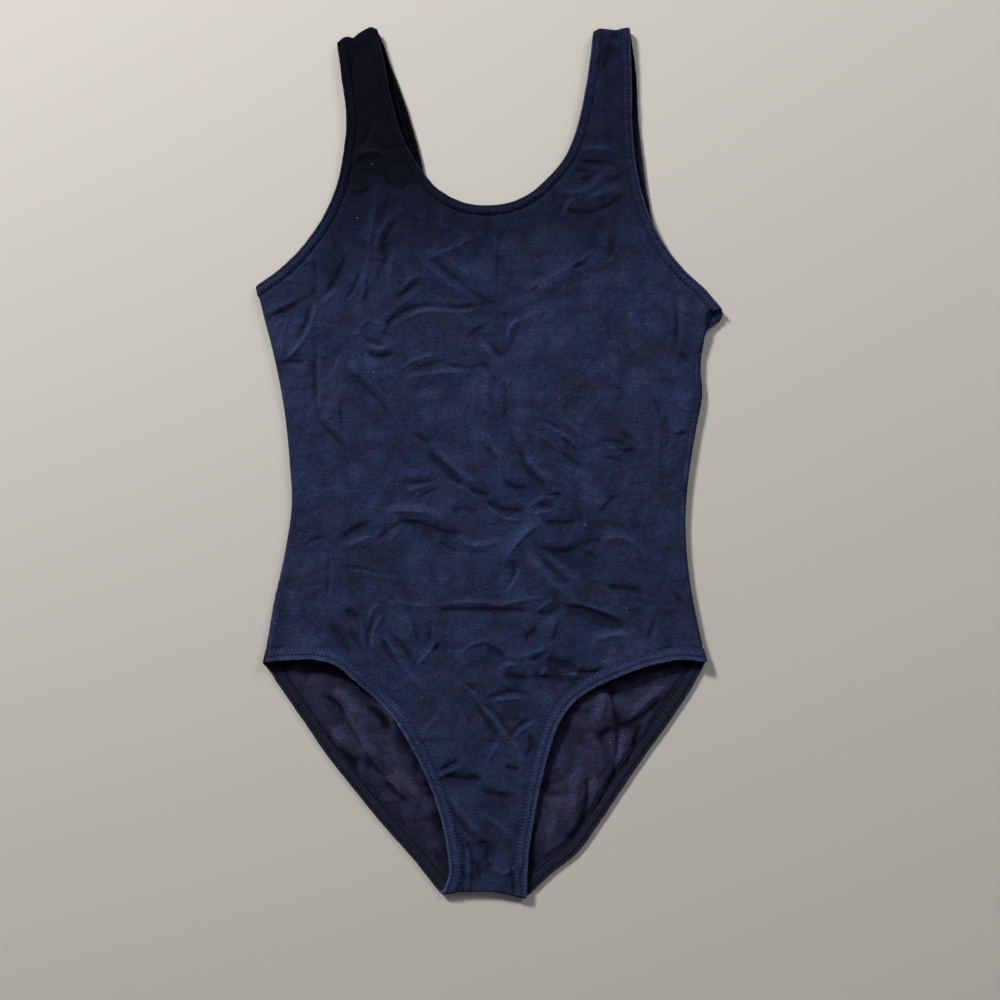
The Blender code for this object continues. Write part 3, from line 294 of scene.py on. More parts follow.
    (-18.5, -260.1, -11.5, -286.6, 2.2, 1.2, -1.3), (-11.5, -286.6, -15.7, -301.3, 1.6, 1.2, -1.3),
    (-21.3, -268.4, -19.9, -289.4, 0.7, 1.2, 1), (-19.9, -289.4, -24.1, -300.6, 0.9, 1.2, 1),
    (-15.7, -269.8, -14.3, -290.8, 0.7, 1.2, 1), (-14.3, -290.8, -17.8, -300.6, 0.8, 1.2, 0.9),
    (-32.5, -300.6, -26.2, -295.0, 0.8, 1.3, 0.8), (-9.4, -278.2, -9.4, -296.4, 2.1, 1.4, -0.6),
    (16.4, -276.8, 17.8, -302.0, -0.7, 1.2, -1.3), (22.8, -282.4, 23.4, -303.4, -1.0, 1.2, -1.1),
    (19.2, -278.2, 20.6, -301.3, 0.0, 1.2, 0.7),
]

frontPanel = {
    "name": "front_jersey",
    "wall": 0.9,
    "outerGrid": 1.18,
    "innerGrid": 5.0,
    "sharpAngle": 55,
    "lift": 5.3,
    "leastOverBack": 3.2,
    "leastOverFloor": 1.7,
    "overFloorFade": (2.0, 12.0),
    "leastSoftness": 0.6,
    "backNeckPrint": {"rise": 1.0, "width": 4.5, "offset": 2.2},
    "creaseDepth": 1.65,
    "widen": 1.0,
    "lowerCreasing": {"from": -60, "to": -150, "more": 0.35},
    "broadWaver": Waver(34, 0.8, 4),
    "middleWaver": Waver(13, 0.3, 5),
    "crumples": [Waver(7.5, 0.3, 16), Waver(15, 0.7, 6)],
    # x, y, half width, half height, rise: the broad swells first, then small dips and swells
    "puffs": [
        (-122, -146, 34, 22, 6.8), (112, -150, 36, 20, 6.4), (-62, -196, 20, 26, 3.0),
        (52, -190, 20, 22, 3.4), (38, -232, 12, 30, 1.6), (8, 168, 44, 34, -1.7),
        (-118, 150, 20, 20, 1.2), (140, 112, 18, 14, 1.6), (-14, -258, 14, 34, 1.6),
        (-86, 30, 26, 60, 0.9), (96, 6, 30, 60, 0.9), (-40, 151, 4.9, 4.9, -0.9),
        (-29, 161, 2.8, 2.1, -0.5), (-77, 114, 7.0, 8.4, 0.7), (-105, 145, 4.2, 11.2, -0.9),
        (-47, 51, 6.3, 4.2, -0.8), (-33, 40, 3.5, 4.2, -0.7), (-67, 24, 5.6, 3.5, -0.6),
        (-133, 49, 9.8, 5.6, -0.6), (-126, 37, 3.5, 4.2, -0.5), (-136, 9, 4.9, 2.8, -0.7),
        (-129, 0, 4.9, 6.3, 0.6), (-115, 2, 4.2, 15.4, -0.6), (-42, -86, 21.0, 12.6, 0.6),
        (-68, -96, 2.8, 2.1, -0.9), (2, -196, 5.6, 4.2, -1.4), (56, 89, 8.4, 5.6, -0.5),
        (21, 82, 5.6, 14.0, -0.3), (112, -68, 14.0, 11.2, -0.4), (-2, 66, 3.5, 3.5, -0.9),
        (88, -26, 4.2, 5.6, -0.5), (60, -39, 15.4, 5.6, -0.6), (105, 9, 11.2, 7.0, -0.4),
    ],
    # the seam allowances bunch up in the shoulder tops
    "dents": [
        (87.5, 299.5, 2.4, 3.2, -1.3), (82.5, 301.5, 3.0, 2.0, 0.6), (94.0, 298.0, 3.4, 3.4, 0.9),
        (88.0, 293.0, 5.0, 3.0, 0.6), (-95.5, 298.0, 1.8, 2.6, -1.6), (-99.5, 295.0, 2.6, 3.2, 0.9),
        (-88.0, 299.0, 4.0, 3.0, 0.7), (-92.0, 289.0, 5.0, 3.4, -0.7),
    ],
    # the stiff edge under the right arm, below and outside which the side drops away
    "underarmStep": {
        "x": 151.2, "y": 105.0, "slope": 0.22, "width": 1.5, "drop": 2.0, "heights": (81, 93),
        "stand": [(149, 101, 5, 10, 1.0), (157, 110, 8, 5, 0.9)],
    },
    "creases": frontCreases,
}

# the creases of the inside, where it shows in the leg openings
backCreases = [
    (-117.2, -164.1, -101.1, -178.8, 3.6, 1.6, -1.3),
    (-101.1, -178.8, -86.4, -203.3, 0.1, 1.7, -1.7), (-86.4, -203.3, -73.8, -220.1, -1.3, 1.8, -1.5),
    (-73.8, -220.1, -56.4, -238.8, -1.7, 1.7, -1.1), (-73.1, -220.1, -63.3, -228.5, 0.1, 1.3, 0.7),
    (-108.8, -160.6, -93.4, -181.6, 2.8, 2.8, 0.8), (-104.6, -197.8, -93.4, -215.9, 1.0, 2.5, -0.8),
    (-85.0, -171.8, -69.6, -188.6, 2.4, 2.1, -0.6), (-82.2, -169.0, -65.5, -187.2, 3.4, 2.2, 0.5),
    (-116.5, -187.2, -100.4, -209.6, -0.3, 1.3, -0.6),
    (-111.6, -185.8, -96.2, -208.2, 0.0, 2.1, 0.6), (-97.6, -177.4, -82.2, -206.8, 0.0, 2.5, 0.6),
    (-66.1, -215.2, -48.6, -236.2, -1.3, 2.8, 0.6), (88.5, -174.4, 87.1, -211.8, 2.0, 1.8, -1.8),
    (87.1, -209.8, 78.8, -236.2, 3.2, 1.9, -1.7), (92.8, -190.8, 89.2, -229.2, 1.6, 2.5, 0.9),
    (106.0, -176.8, 89.9, -185.1, 2.0, 1.8, -1.2), (122.8, -157.8, 99.8, -178.1, -1.0, 2.1, 1.1),
    (121.4, -164.8, 105.3, -180.2, 0.3, 1.8, -0.9), (75.9, -196.3, 85.8, -185.1, 1.1, 1.8, -0.9),
    (85.8, -157.2, 88.4, -178.0, -1.0, 1.4, -1.3), (80.1, -162.0, 77.3, -180.2, 0.6, 2.8, 0.9),
    (68.2, -220.2, 65.5, -248.1, 1.5, 1.8, -1.6), (65.5, -246.1, 55.6, -263.6, 3.1, 2.1, -1.4),
    (73.1, -219.4, 70.3, -251.6, 1.5, 2.5, 0.8), (61.9, -215.2, 57.7, -246.7, 1.6, 2.8, 0.6),
    (106.8, -184.4, 100.4, -199.8, -1.2, 1.7, -0.6), (110.9, -183.0, 103.9, -202.6, -0.7, 1.8, 0.5),
    (49.3, -236.2, 44.4, -264.2, -0.3, 2.8, 0.4),
]

backPanel = {
    "name": "back_jersey",
    "wall": 0.9,
    "outerGrid": 2.3,
    "innerGrid": 3.4,
    "shownInside": {"grid": 1.15, "below": -128, "above": 171, "gap": 1},
    "sharpAngle": 55,
    "creaseDepth": 2.6,
    "widen": 1.2,
    "crumples": [Waver(13, 0.85, 8)],
    "underlift": 1.9,
    "underliftSoftness": 0.3,
    # where it is raised: below the legs, above the crotch and away from the hems
    "shown": {"top": (-132, -160), "bottom": (-292, -262), "fromHem": (9.0, 14.5)},
    # painted shade close under the front's leg edges: how dark, and how wide in millimetres
    "shade": 0.75,
    "shadeWidth": 6.5,
    # the back is pushed up from the floor where it shows below the legs
    "puffs": [
        (-96, -205, 26, 22, 1.3), (-70, -235, 20, 20, 1.0), (88, -200, 24, 26, 1.4),
        (66, -235, 20, 20, 1.0),
    ],
    "creases": backCreases,
}

# Turned hems: width, height of the two needle rows from the edge, and how far they sink
hemKinds = {
    "neck": {"width": 6.5, "backWidth": 6.5, "rows": (1.5, 5.9), "sink": 0.42},
    "armhole": {"width": 7.0, "backWidth": 7.0, "rows": (2.1, 6.3), "sink": 0.38},
    "leg": {"width": 8.7, "backWidth": 9.8, "rows": (3.2, 8.0), "sink": 0.42},
}
hemForm = {
    "stitchPitch": 2.5,
    "stationsAStitch": 4,
    "proud": 0.5,
    "thickness": 1.6,
    "rounding": 0.9,
    "rimDepth": 0.4,
    "innerProud": 0.05,
    "innerFade": 0.9,
    "rowWidth": 0.42,
    # where the section has its points, from the rolled edge inwards
    "points": {
        "rim": (0.0, 0.12, 0.4, 0.8, 1.3), "from": 1.8, "clear": 0.4, "apart": 0.55,
        "atRow": (-0.32, 0.0, 0.32), "last": 0.15,
    },
    # size and share of each waver of the ruffle between the needle rows
    "ruffles": ((2.6, 1.0), (6.0, 0.7)),
    "ruffle": 0.16,
    "ruffledShare": 0.42,
    "lipRuffle": 0.5,
    "lipWidth": 1.5,
    "pucker": 0.13,
    "puckerReach": (0.7, 1.3),
    "edgeWaver": (5.0, 0.16),
    "lessOnStraps": 0.55,
    "hiddenEvery": 3,
    "hiddenRounding": 0.6,
    "hiddenEnd": 0.3,
    "hiddenEndRise": 0.5,
    "offFloor": 0.02,
    "underlap": 1.1,
    "sharpAngle": 75,
    "firstSeed": 11,
}
seamForm = {"depth": 0.55, "width": 1.3, "lessOnStraps": 0.65}
threadForms = {
    "needle": {
        "label": "stitches", "radius": 0.17, "half": 1.02, "rise": 0.16, "drop": 0.22,
        "points": 6, "sides": 5, "lift": 0.1, "unevenness": 0.14,
    },
    "looper": {
        "label": "threads", "radius": 0.17, "rise": 0.1, "crossing": 0.08,
        "points": 9, "sides": 3, "lift": 0.05, "unevenness": 0.08,
    },
}

# Which seams each hem runs between, and the way from its edge to the cloth
hemPlans = [
    HemPlan("neck", "neck", "neck", "neck_hem", "left shoulder", "right shoulder", -1),
    HemPlan("armhole_left", "left armhole", "armhole", "armhole_hem_left", "left shoulder", "left", 1),
    HemPlan(
        "armhole_right", "right armhole", "armhole", "armhole_hem_right", "right shoulder", "right", -1
    ),
    HemPlan("leg_left", "left leg", "leg", "leg_hem_left", "left", "crotch", 1),
    HemPlan("leg_right", "right leg", "leg", "leg_hem_right", "right", "crotch", -1),
]
# Round a panel: each hem line, whether it runs backwards, and the seam from its end
rimOrder = [
    RimPart("neck", True, "left shoulder"), RimPart("left armhole", False, "left"),
    RimPart("left leg", False, "crotch"), RimPart("right leg", True, "right"),
    RimPart("right armhole", True, "right shoulder"),
]
seamSteps = {"left": 6, "right": 6, "left shoulder": 3, "right shoulder": 3, "crotch": 3}

# Creases across their width and at their ends, and the web of fine wrinkles
creaseForm = {
    "reach": 3, "endFade": (-0.15, 0.3), "leastSpread": 1.25, "usualSpread": 1.5, "widthPower": 0.6,
    "deepest": 0.8, "highest": 0.7, "softness": 1.2,
}
webForm = {
    "bend": 0.5, "bendSize": 2.1, "fineSize": 0.45, "fineHeight": 0.45, "level": 0.3,
    "broadRounding": 0.004, "fineRounding": 0.01,
}
latticeCount = 256
latticeMiddle = (128.37, 128.71)


# Curves and soft shapes

def smoothCurve(points, step=lyingForm["curveStep"]):
    points = np.array(points, float)
    chords = np.hypot(np.diff(points[:, 0]), np.diff(points[:, 1]))
    knots = np.concatenate([[0.0], np.cumsum(chords)])
    slopes = np.gradient(points, knots, axis=0)
    at = np.linspace(0.0, knots[-1], int(np.ceil(knots[-1] / step)) + 1)
    i = np.clip(np.searchsorted(knots, at, "right") - 1, 0, len(knots) - 2)
    span = (knots[i + 1] - knots[i])[:, None]
    s = (at - knots[i])[:, None] / span
    return (
        (1 + 2 * s) * (1 - s) ** 2 * points[i]
        + s * (1 - s) ** 2 * span * slopes[i]
        + s**2 * (3 - 2 * s) * points[i + 1]
        - s**2 * (1 - s) * span * slopes[i + 1]
    )


def coarseEdge(layer, cut):
    return smoothCurve(cutEdges[layer][cut], lyingForm["coarseStep"])


def byFirstColumn(rows):
    curve = smoothCurve(rows)
    return curve[np.argsort(curve[:, 0])]


sides = {
    side: SideRow(*byFirstColumn(lyingForm[table]).T)
    for side, table in ((-1, "leftSide"), (1, "rightSide"))
}
ends = {name: byFirstColumn(lyingForm[name]) for name in ("left shoulder", "right shoulder", "crotch")}
backNeckCurve = coarseEdge("back", "neck")
legCurves = {
    layer: [coarseEdge(layer, leg) for leg in ("left leg", "right leg")] for layer in ("front", "back")
}


def sideReach(side, height):
    return np.interp(height, sides[side].height, sides[side].reach)


def sideRadius(side, height):
    return np.interp(height, sides[side].height, sides[side].lift) / 2


def sideRoll(side, height):
    return np.interp(height, sides[side].height, sides[side].roll)


def endWay(end):
    return -1 if end == "crotch" else 1


def endDepth(end, x, y):
    # how far inside a folded end a point lies, or far away on the other shoulder
    fold = np.interp(x, ends[end][:, 0], ends[end][:, 1])
    depth = endWay(end) * (fold - y) - lyingForm["foldLift"] / 2
    if end == "crotch":
        return depth
    return np.where((x < 0) == (end == "left shoulder"), depth, farAway)


def distanceTo(curve, x, y):
    best = np.full(np.shape(x), np.inf)
    for (x0, y0), (dx, dy) in zip(curve[:-1], np.diff(curve, axis=0)):
        s = np.clip(((x - x0) * dx + (y - y0) * dy) / (dx * dx + dy * dy + tiny), 0, 1)
        best = np.minimum(best, (x - x0 - s * dx) ** 2 + (y - y0 - s * dy) ** 2)
    return np.sqrt(best)


def insideOutline(outline, x, y):
    found = np.zeros(np.shape(x), bool)
    for (x0, y0), (x1, y1) in zip(outline, np.roll(outline, -1, axis=0)):
        if y0 != y1:
            found ^= ((y0 > y) != (y1 > y)) & (x < x0 + (y - y0) / (y1 - y0) * (x1 - x0))
    return found


def smoothStep(low, high, value):
    s = np.clip((value - low) / (high - low), 0, 1)
    return s * s * (3 - 2 * s)


def bell(value, width):
    return np.exp(-((value / width) ** 2))


def softMax(value, softness):
    # the value where it is above 0, and else close to 0
    return 0.5 * (value + np.sqrt(value**2 + softness))


def swell(puffs, x, y):
    total = np.zeros(np.shape(x))
    for puff in map(Puff._make, puffs):
        away = ((x - puff.x) / puff.halfWidth) ** 2 + ((y - puff.y) / puff.halfHeight) ** 2
        total += puff.rise * np.exp(-away)
    return total


def creaseRise(form, x, y):
    # soft across each crease, and dying out at both its ends
    shape, depth, width = np.shape(x), form["creaseDepth"], creaseForm["usualSpread"]
    x, y = np.ravel(x), np.ravel(y)
    total = np.zeros(x.shape)
    for crease in map(Crease._make, form["creases"]):
        reach = creaseForm["reach"] * crease.spread + abs(crease.bow)
        lowX, highX = sorted((crease.x1, crease.x2))
        lowY, highY = sorted((crease.y1, crease.y2))
        near = np.flatnonzero(
            (x > lowX - reach) & (x < highX + reach) & (y > lowY - reach) & (y < highY + reach)
        )
        if not len(near):
            continue
        run = np.array([crease.x2 - crease.x1, crease.y2 - crease.y1], float)
        length = np.hypot(*run)
        run /= length
        dx, dy = x[near] - crease.x1, y[near] - crease.y1
        s = (dx * run[0] + dy * run[1]) / length
        inner = np.clip(s, 0, 1)
        across = dy * run[0] - dx * run[1] - crease.bow * 4 * inner * (1 - inner)
        fade = smoothStep(*creaseForm["endFade"], s) * smoothStep(*creaseForm["endFade"], 1 - s)
        spread = max(crease.spread * form["widen"], creaseForm["leastSpread"])
        rise = depth * crease.rise * (spread / width) ** creaseForm["widthPower"]
        rise = np.clip(rise, -creaseForm["deepest"] * spread, creaseForm["highest"] * spread)
        total[near] += rise * fade * np.exp(-(np.abs(across / spread) ** creaseForm["softness"]))
    return total.reshape(shape)


def softNoise(x, y, size, seed):
    # even swells about size across, from -1 to 1
    lattice = np.random.default_rng(seed).uniform(-1, 1, (latticeCount, latticeCount))
    u, v = np.asarray(x) / size + latticeMiddle[0], np.asarray(y) / size + latticeMiddle[1]
    i, j = np.floor(u).astype(int), np.floor(v).astype(int)
    s, t = smoothStep(0, 1, u - i), smoothStep(0, 1, v - j)
    i, j = i % (latticeCount - 1), j % (latticeCount - 1)
    low = lattice[i, j] * (1 - s) + lattice[i + 1, j] * s
    high = lattice[i, j + 1] * (1 - s) + lattice[i + 1, j + 1] * s
    return low * (1 - t) + high * t


def waver(form, x, y):
    return form.height * softNoise(x, y, form.size, form.seed)


def crumpled(form, x, y):
    # a web of fine ridges and valleys, as worn jersey has, bent by a broader waver
    size, bend = form.size, webForm["bend"] * form.size
    bentX = x + bend * softNoise(x, y, webForm["bendSize"] * size, form.seed + 20)
    bentY = y + bend * softNoise(x, y, webForm["bendSize"] * size, form.seed + 21)
    broad = softNoise(bentX, bentY, size, form.seed)
    fine = softNoise(bentX, bentY, webForm["fineSize"] * size, form.seed + 1)
    web = np.sqrt(broad**2 + webForm["broadRounding"]) - webForm["level"]
    return form.height * (
        web + webForm["fineHeight"] * (np.sqrt(fine**2 + webForm["fineRounding"]) - webForm["level"])
    )


# How the flat cloth lies on the floor and on itself

def frontRelief(x, y):
    form = frontPanel
    # the cloth is most creased below the belly
    lower = form["lowerCreasing"]
    deeper = 1 + lower["more"] * smoothStep(lower["from"], lower["to"], y)
    relief = deeper * creaseRise(form, x, y) + swell(form["dents"], x, y)
    relief += waver(form["middleWaver"], x, y)
    return relief + sum(crumpled(crumple, x, y) for crumple in form["crumples"])


def backRelief(x, y):
    relief = creaseRise(backPanel, x, y)
    return relief + sum(crumpled(crumple, x, y) for crumple in backPanel["crumples"])


def backReliefAndPaintedShade(x, y):
    # painted shade: the back is darkened close under the front's leg edges, on top of its relief
    near = np.minimum(*(distanceTo(curve, x, y) for curve in legCurves["front"]))
    return backRelief(x, y) - backPanel["shade"] * bell(near, backPanel["shadeWidth"])


frontPanel["tone"], backPanel["tone"] = frontRelief, backReliefAndPaintedShade


def frontLift(x, y):
    form = frontPanel
    scoopEnds = [[backNeckCurve[-1, 0], farUp], [backNeckCurve[0, 0], farUp]]
    away = distanceTo(backNeckCurve, x, y)
    overFloor = np.where(insideOutline(np.vstack([backNeckCurve, scoopEnds]), x, y), away, -away)
    lift = form["lift"] + swell(form["puffs"], x, y) + frontRelief(x, y)
    lift += waver(form["broadWaver"], x, y)
    printed = form["backNeckPrint"]
    lift += printed["rise"] * bell(overFloor + printed["offset"], printed["width"])
    least = form["leastOverBack"]
    least = least - (least - form["leastOverFloor"]) * smoothStep(*form["overFloorFade"], overFloor)
    lift = least + softMax(lift - least, form["leastSoftness"])
    for side in sides:
        radius = sideRadius(side, y)
        fromFold = sideReach(side, y) - radius - side * x
        lift = lift + (2 * radius - lift) * bell(np.maximum(fromFold, 0), lyingForm["sideFade"])
    for end in ends:
        near = bell(np.maximum(endDepth(end, x, y), 0), lyingForm["endFade"])
        lift = lift + (lyingForm["foldLift"] - lift) * near
    return lift


def underarm(x, y):
    step = frontPanel["underarmStep"]
    past = np.minimum(x - step["x"], step["y"] + step["slope"] * (x - step["x"]) - y)
    dropped = smoothStep(0, step["width"], past) * smoothStep(*step["heights"], y)
    return swell(step["stand"], x, y) * (1 - dropped) - step["drop"] * dropped


def backLift(x, y):
    # raised where it shows below the legs, so that its creases clear the floor
    shown = backPanel["shown"]
    fromHem = np.minimum(*(distanceTo(curve, x, y) for curve in legCurves["back"]))
    raised = smoothStep(*shown["top"], y) * smoothStep(*shown["bottom"], y)
    raised = raised * smoothStep(*shown["fromHem"], fromHem)
    rise = backRelief(x, y) + swell(backPanel["puffs"], x, y) + backPanel["underlift"]
    return raised * softMax(rise, backPanel["underliftSoftness"])


def tucked(u, v):
    left, right = (sideReach(side, v) - sideRadius(side, v) for side in (-1, 1))
    return np.clip(u, -left, right)


def lay(u, v, layer):
    # u and v are plain X and Y in the middle, and run on round the sides, shoulders and crotch
    u, v = np.asarray(u, float), np.asarray(v, float)
    x, y = u.copy(), v.copy()
    drop = np.zeros_like(u)
    wrapped = np.zeros(u.shape, bool)
    turnLimit = halfFold if layer == "front" else backWrap
    for side in sides:
        radius = sideRadius(side, v)
        tangent = sideReach(side, v) - radius
        over = side * u - tangent
        turn = np.clip(over / radius, 0, turnLimit)
        beyond = np.maximum(over - turnLimit * radius, 0)
        x = np.where(over > 0, side * (tangent + radius * np.sin(turn) - beyond), x)
        drop = np.where(over > 0, radius * (1 - np.cos(turn)), drop)
        wrapped |= beyond > 0
    for end in ends:
        radius = lyingForm["foldLift"] / 2
        over = -endDepth(end, u, v)
        turn = np.clip(over / radius, 0, halfFold)
        y = np.where(over > 0, y + endWay(end) * (radius * np.sin(turn) - over), y)
        drop = np.where(over > 0, radius * (1 - np.cos(turn)), drop)
    if layer == "front":
        z = frontLift(tucked(u, v), y) - drop + underarm(x, y)
    else:
        z = np.where(wrapped, frontLift(x, y), backLift(x, y) + drop)
    return np.stack([x, y, z], axis=-1)


def layOut(u, v, layer, out):
    # the laid points moved out of the cloth's outer face, and the way out
    reach = 0.05
    across = lay(u + reach, v, layer) - lay(u - reach, v, layer)
    along = lay(u, v + reach, layer) - lay(u, v - reach, layer)
    normal = np.cross(across, along)
    normal /= np.linalg.norm(normal, axis=-1)[..., None]
    if layer == "back":
        normal = -normal
    return lay(u, v, layer) + normal * np.asarray(out, float)[..., None], normal


# Lines on the flat cloth

def sideSeam(side, layer):
    v = np.arange(lyingForm["sideSeamEnd"], lyingForm["underarms"][side] + 0.5, 0.5)
    radius = sideRadius(side, v)
    roll = sideRoll(side, v) * (1 if layer == "back" else -1)
    over = halfFold * radius + roll - lyingForm["seamGap"] / 2
    return np.stack([side * (sideReach(side, v) - radius + over), v], axis=-1)


def endSeam(end):
    table = ends[end]
    over = lyingForm["foldLift"] / 2 * (halfFold - 1) - lyingForm["seamGap"] / 2
    return np.stack([table[:, 0], table[:, 1] + endWay(end) * over], axis=-1)


def stretched(curve):
    # run on straight at both ends, in the way of the last three steps
    def beyond(tip, before):
        return tip + (tip - before) / np.linalg.norm(tip - before) * lyingForm["edgeOverrun"]

    return np.vstack([beyond(curve[0], curve[3]), curve, beyond(curve[-1], curve[-4])])


def movedIn(curve, distance, inward):
    runs = np.gradient(curve, axis=0)
    runs /= np.linalg.norm(runs, axis=1)[:, None]
    return curve + inward * distance * np.stack([-runs[:, 1], runs[:, 0]], axis=-1)


def crossing(first, second):
    p, r = first[:-1, None], np.diff(first, axis=0)[:, None]
    q, s = second[None, :-1], np.diff(second, axis=0)[None]
    across = r[..., 0] * s[..., 1] - r[..., 1] * s[..., 0]
    across = np.where(np.abs(across) < tiny, np.nan, across)
    gap = q - p
    t = (gap[..., 0] * s[..., 1] - gap[..., 1] * s[..., 0]) / across
    w = (gap[..., 0] * r[..., 1] - gap[..., 1] * r[..., 0]) / across
    i, j = np.argwhere((t >= 0) & (t <= 1) & (w >= 0) & (w <= 1))[0]
    return i + t[i, j], first[i] + t[i, j] * r[i, 0]


def between(curve, start, finish):
    atStart, first = crossing(curve, start)
    atFinish, last = crossing(curve[::-1], finish)
    atFinish = len(curve) - 1 - atFinish
    middle = curve[int(np.ceil(atStart + samePlace)) : int(np.floor(atFinish - samePlace)) + 1]
    return np.vstack([first, middle, last])


def lengthAlong(curve):
    return np.concatenate([[0.0], np.cumsum(np.linalg.norm(np.diff(curve, axis=0), axis=1))])


def atShares(curve, shares):
    along = lengthAlong(curve)
    along /= along[-1]
    return np.stack([np.interp(shares, along, curve[:, k]) for k in range(2)], axis=-1)


def seamBetween(seam, start, finish):
    # every second point of the seam, clear of the corners at both its ends
    at = [np.argmin(np.linalg.norm(seam - p, axis=1)) for p in (start, finish)]
    middle = seam[min(at) + 2 : max(at) - 1 : 2]
    return np.vstack([start, middle if at[0] < at[1] else middle[::-1]])


# Meshes

def addObject(name, data):
    made = bpy.data.objects.new(name, data)
    bpy.context.scene.collection.objects.link(made)
    return made


def addMesh(name, points, faces, finish, sharpAngle):
    mesh = bpy.data.meshes.new(name)
    mesh.from_pydata((np.asarray(points) * mm).tolist(), [], faces)
    mesh.validate()
    mesh.shade_smooth()
    mesh.set_sharp_from_angle(angle=np.radians(sharpAngle))
    mesh.materials.append(finish)
    return addObject(name, mesh)


def outwardOf(points, triangles):
    corners = points[triangles]
    normals = np.cross(corners[:, 1] - corners[:, 0], corners[:, 2] - corners[:, 0])
    total = np.zeros_like(points)
    for k in range(3):
        np.add.at(total, triangles[:, k], normals)
    return total / np.maximum(np.linalg.norm(total, axis=1), tiny)[:, None]


def evenPoints(outline, spacing):
    # rows of points as in a net of even triangles, clear of the rim
    rowHeight, margin = 0.866, 0.5
    low, high = outline.min(axis=0), outline.max(axis=0)
    field = []
    for row, v in enumerate(np.arange(low[1], high[1], spacing * rowHeight)):
        u = np.arange(low[0] + (row % 2) * spacing / 2, high[0], spacing)
        field.append(np.stack([u, np.full_like(u, v)], axis=-1))
    field = np.vstack(field)
    closed = np.vstack([outline, outline[:1]])
    kept = insideOutline(outline, field[:, 0], field[:, 1])
    kept &= distanceTo(closed, field[:, 0], field[:, 1]) > margin * spacing
    return field[kept]


def fillFlat(outline, spacing, shown=None):
    field = evenPoints(outline, spacing)
    if shown:
        # finer where the inside shows: in the leg openings and beside the straps
        fine = evenPoints(outline, shown["grid"])
        below, above, gap = shown["below"], shown["above"], shown["gap"]
        field = np.vstack([
            field[(field[:, 1] > below + gap) & (field[:, 1] < above - gap)],
            fine[(fine[:, 1] < below - gap) | (fine[:, 1] > above + gap)],
        ])
    rim = [(i, (i + 1) % len(outline)) for i in range(len(outline))]
    points = [tuple(p) for p in np.vstack([outline, field])]
    insideOnly, samePoint = 1, 1e-5
    filled = delaunay_2d_cdt(points, rim, [], insideOnly, samePoint)
    flat = np.array([tuple(p) for p in filled[0]])
    rimAt = {}
    for new, olds in enumerate(filled[3]):
        for old in olds:
            if old < len(outline):
                rimAt[old] = new
    return flat, np.array(filled[2]), rimAt


def seamDip(seamLines, u, v):
    # the cloth is drawn down at its seams, and less so on the straps
    dip = sum(seamForm["depth"] * bell(distanceTo(line, u, v), seamForm["width"]) for line in seamLines)
    return dip * (1 - seamForm["lessOnStraps"] * smoothStep(*lyingForm["straps"], v))


def makePanel(form, layer, outline, seamLines, finish):
    # an outer and an inner face with their own grids, joined round the rim
    points, faces, rims, marks, base = [], [], [], {"relief": [], "outerFace": []}, 0
    for face in ("outer", "inner"):
        outer = face == "outer"
        shown = None if outer else form.get("shownInside")
        flat, triangles, rimAt = fillFlat(outline, form[face + "Grid"], shown)
        u, v = flat[:, 0], flat[:, 1]
        laid = lay(u, v, layer)
        if layer == "back":
            triangles = triangles[:, ::-1]
        out = -seamDip(seamLines, u, v) if outer else np.full(len(u), -form["wall"])
        points.append(laid + outwardOf(laid, triangles) * out[:, None])
        # the relief, which the material turns into painted shade in creases and a painted highlight on
        # ridges; on the back it also holds the painted shade under the front's leg edges
        marks["relief"].append(form["tone"](laid[:, 0], laid[:, 1]))
        marks["outerFace"].append(np.full(len(u), float(outer)))
        if not outer:
            triangles = triangles[:, ::-1]
        faces += [tuple(int(base + i) for i in triangle) for triangle in triangles]
        rims.append([base + rimAt[i] for i in range(len(outline))])
        base += len(flat)
    outerRim, innerRim = rims
    for a in range(len(outline)):
        b = (a + 1) % len(outline)
        quad = (outerRim[a], innerRim[a], innerRim[b], outerRim[b])
        faces.append(quad if layer == "front" else quad[::-1])
    piece = addMesh(form["name"], np.vstack(points), faces, finish, form["sharpAngle"])
    for label, values in marks.items():
        marked = piece.data.attributes.new(label, "FLOAT", "POINT")
        marked.data.foreach_set("value", np.concatenate(values).astype(np.float32))
    return piece


def ringFaces(rings, loop):
    # quads between rings of loop points each, and a face over both ends
    faces = []
    for i in range(rings - 1):
        for k in range(loop):
            a, b = i * loop + k, i * loop + (k + 1) % loop
            faces.append((a, a + loop, b + loop, b))
    faces.append(tuple(range(loop)))
    faces.append(tuple((rings - 1) * loop + k for k in reversed(range(loop))))
    return faces


def hemWidth(kind, layer):
    return kind["width"] if layer == "front" else kind["backWidth"]


def rimRounding(t):
    # 1 at the rolled edge of a hem and 0 further in
    return 1 - np.sqrt(1 - np.clip(1 - t / hemForm["rounding"], 0, 1) ** 2)


def hemSection(kind, layer):
    # distances from the edge, and the height over the cloth there, on the side that shows
    width, points = hemWidth(kind, layer), hemForm["points"]
    t = np.unique(np.concatenate([
        points["rim"],
        np.arange(points["from"], width - points["clear"], points["apart"]),
        np.add.outer(kind["rows"], points["atRow"]).ravel(),
        [width - points["last"], width],
    ]).round(3))
    t = t[(t >= 0) & (t <= width)]
    proud = hemForm["proud"]
    height = proud - (proud + hemForm["rimDepth"]) * rimRounding(t)
    for row in kind["rows"]:
        height = height - kind["sink"] * bell(t - row, hemForm["rowWidth"])
    inner = smoothStep(width - hemForm["innerFade"], width, t)
    return width, t, height - (proud - hemForm["innerProud"]) * inner


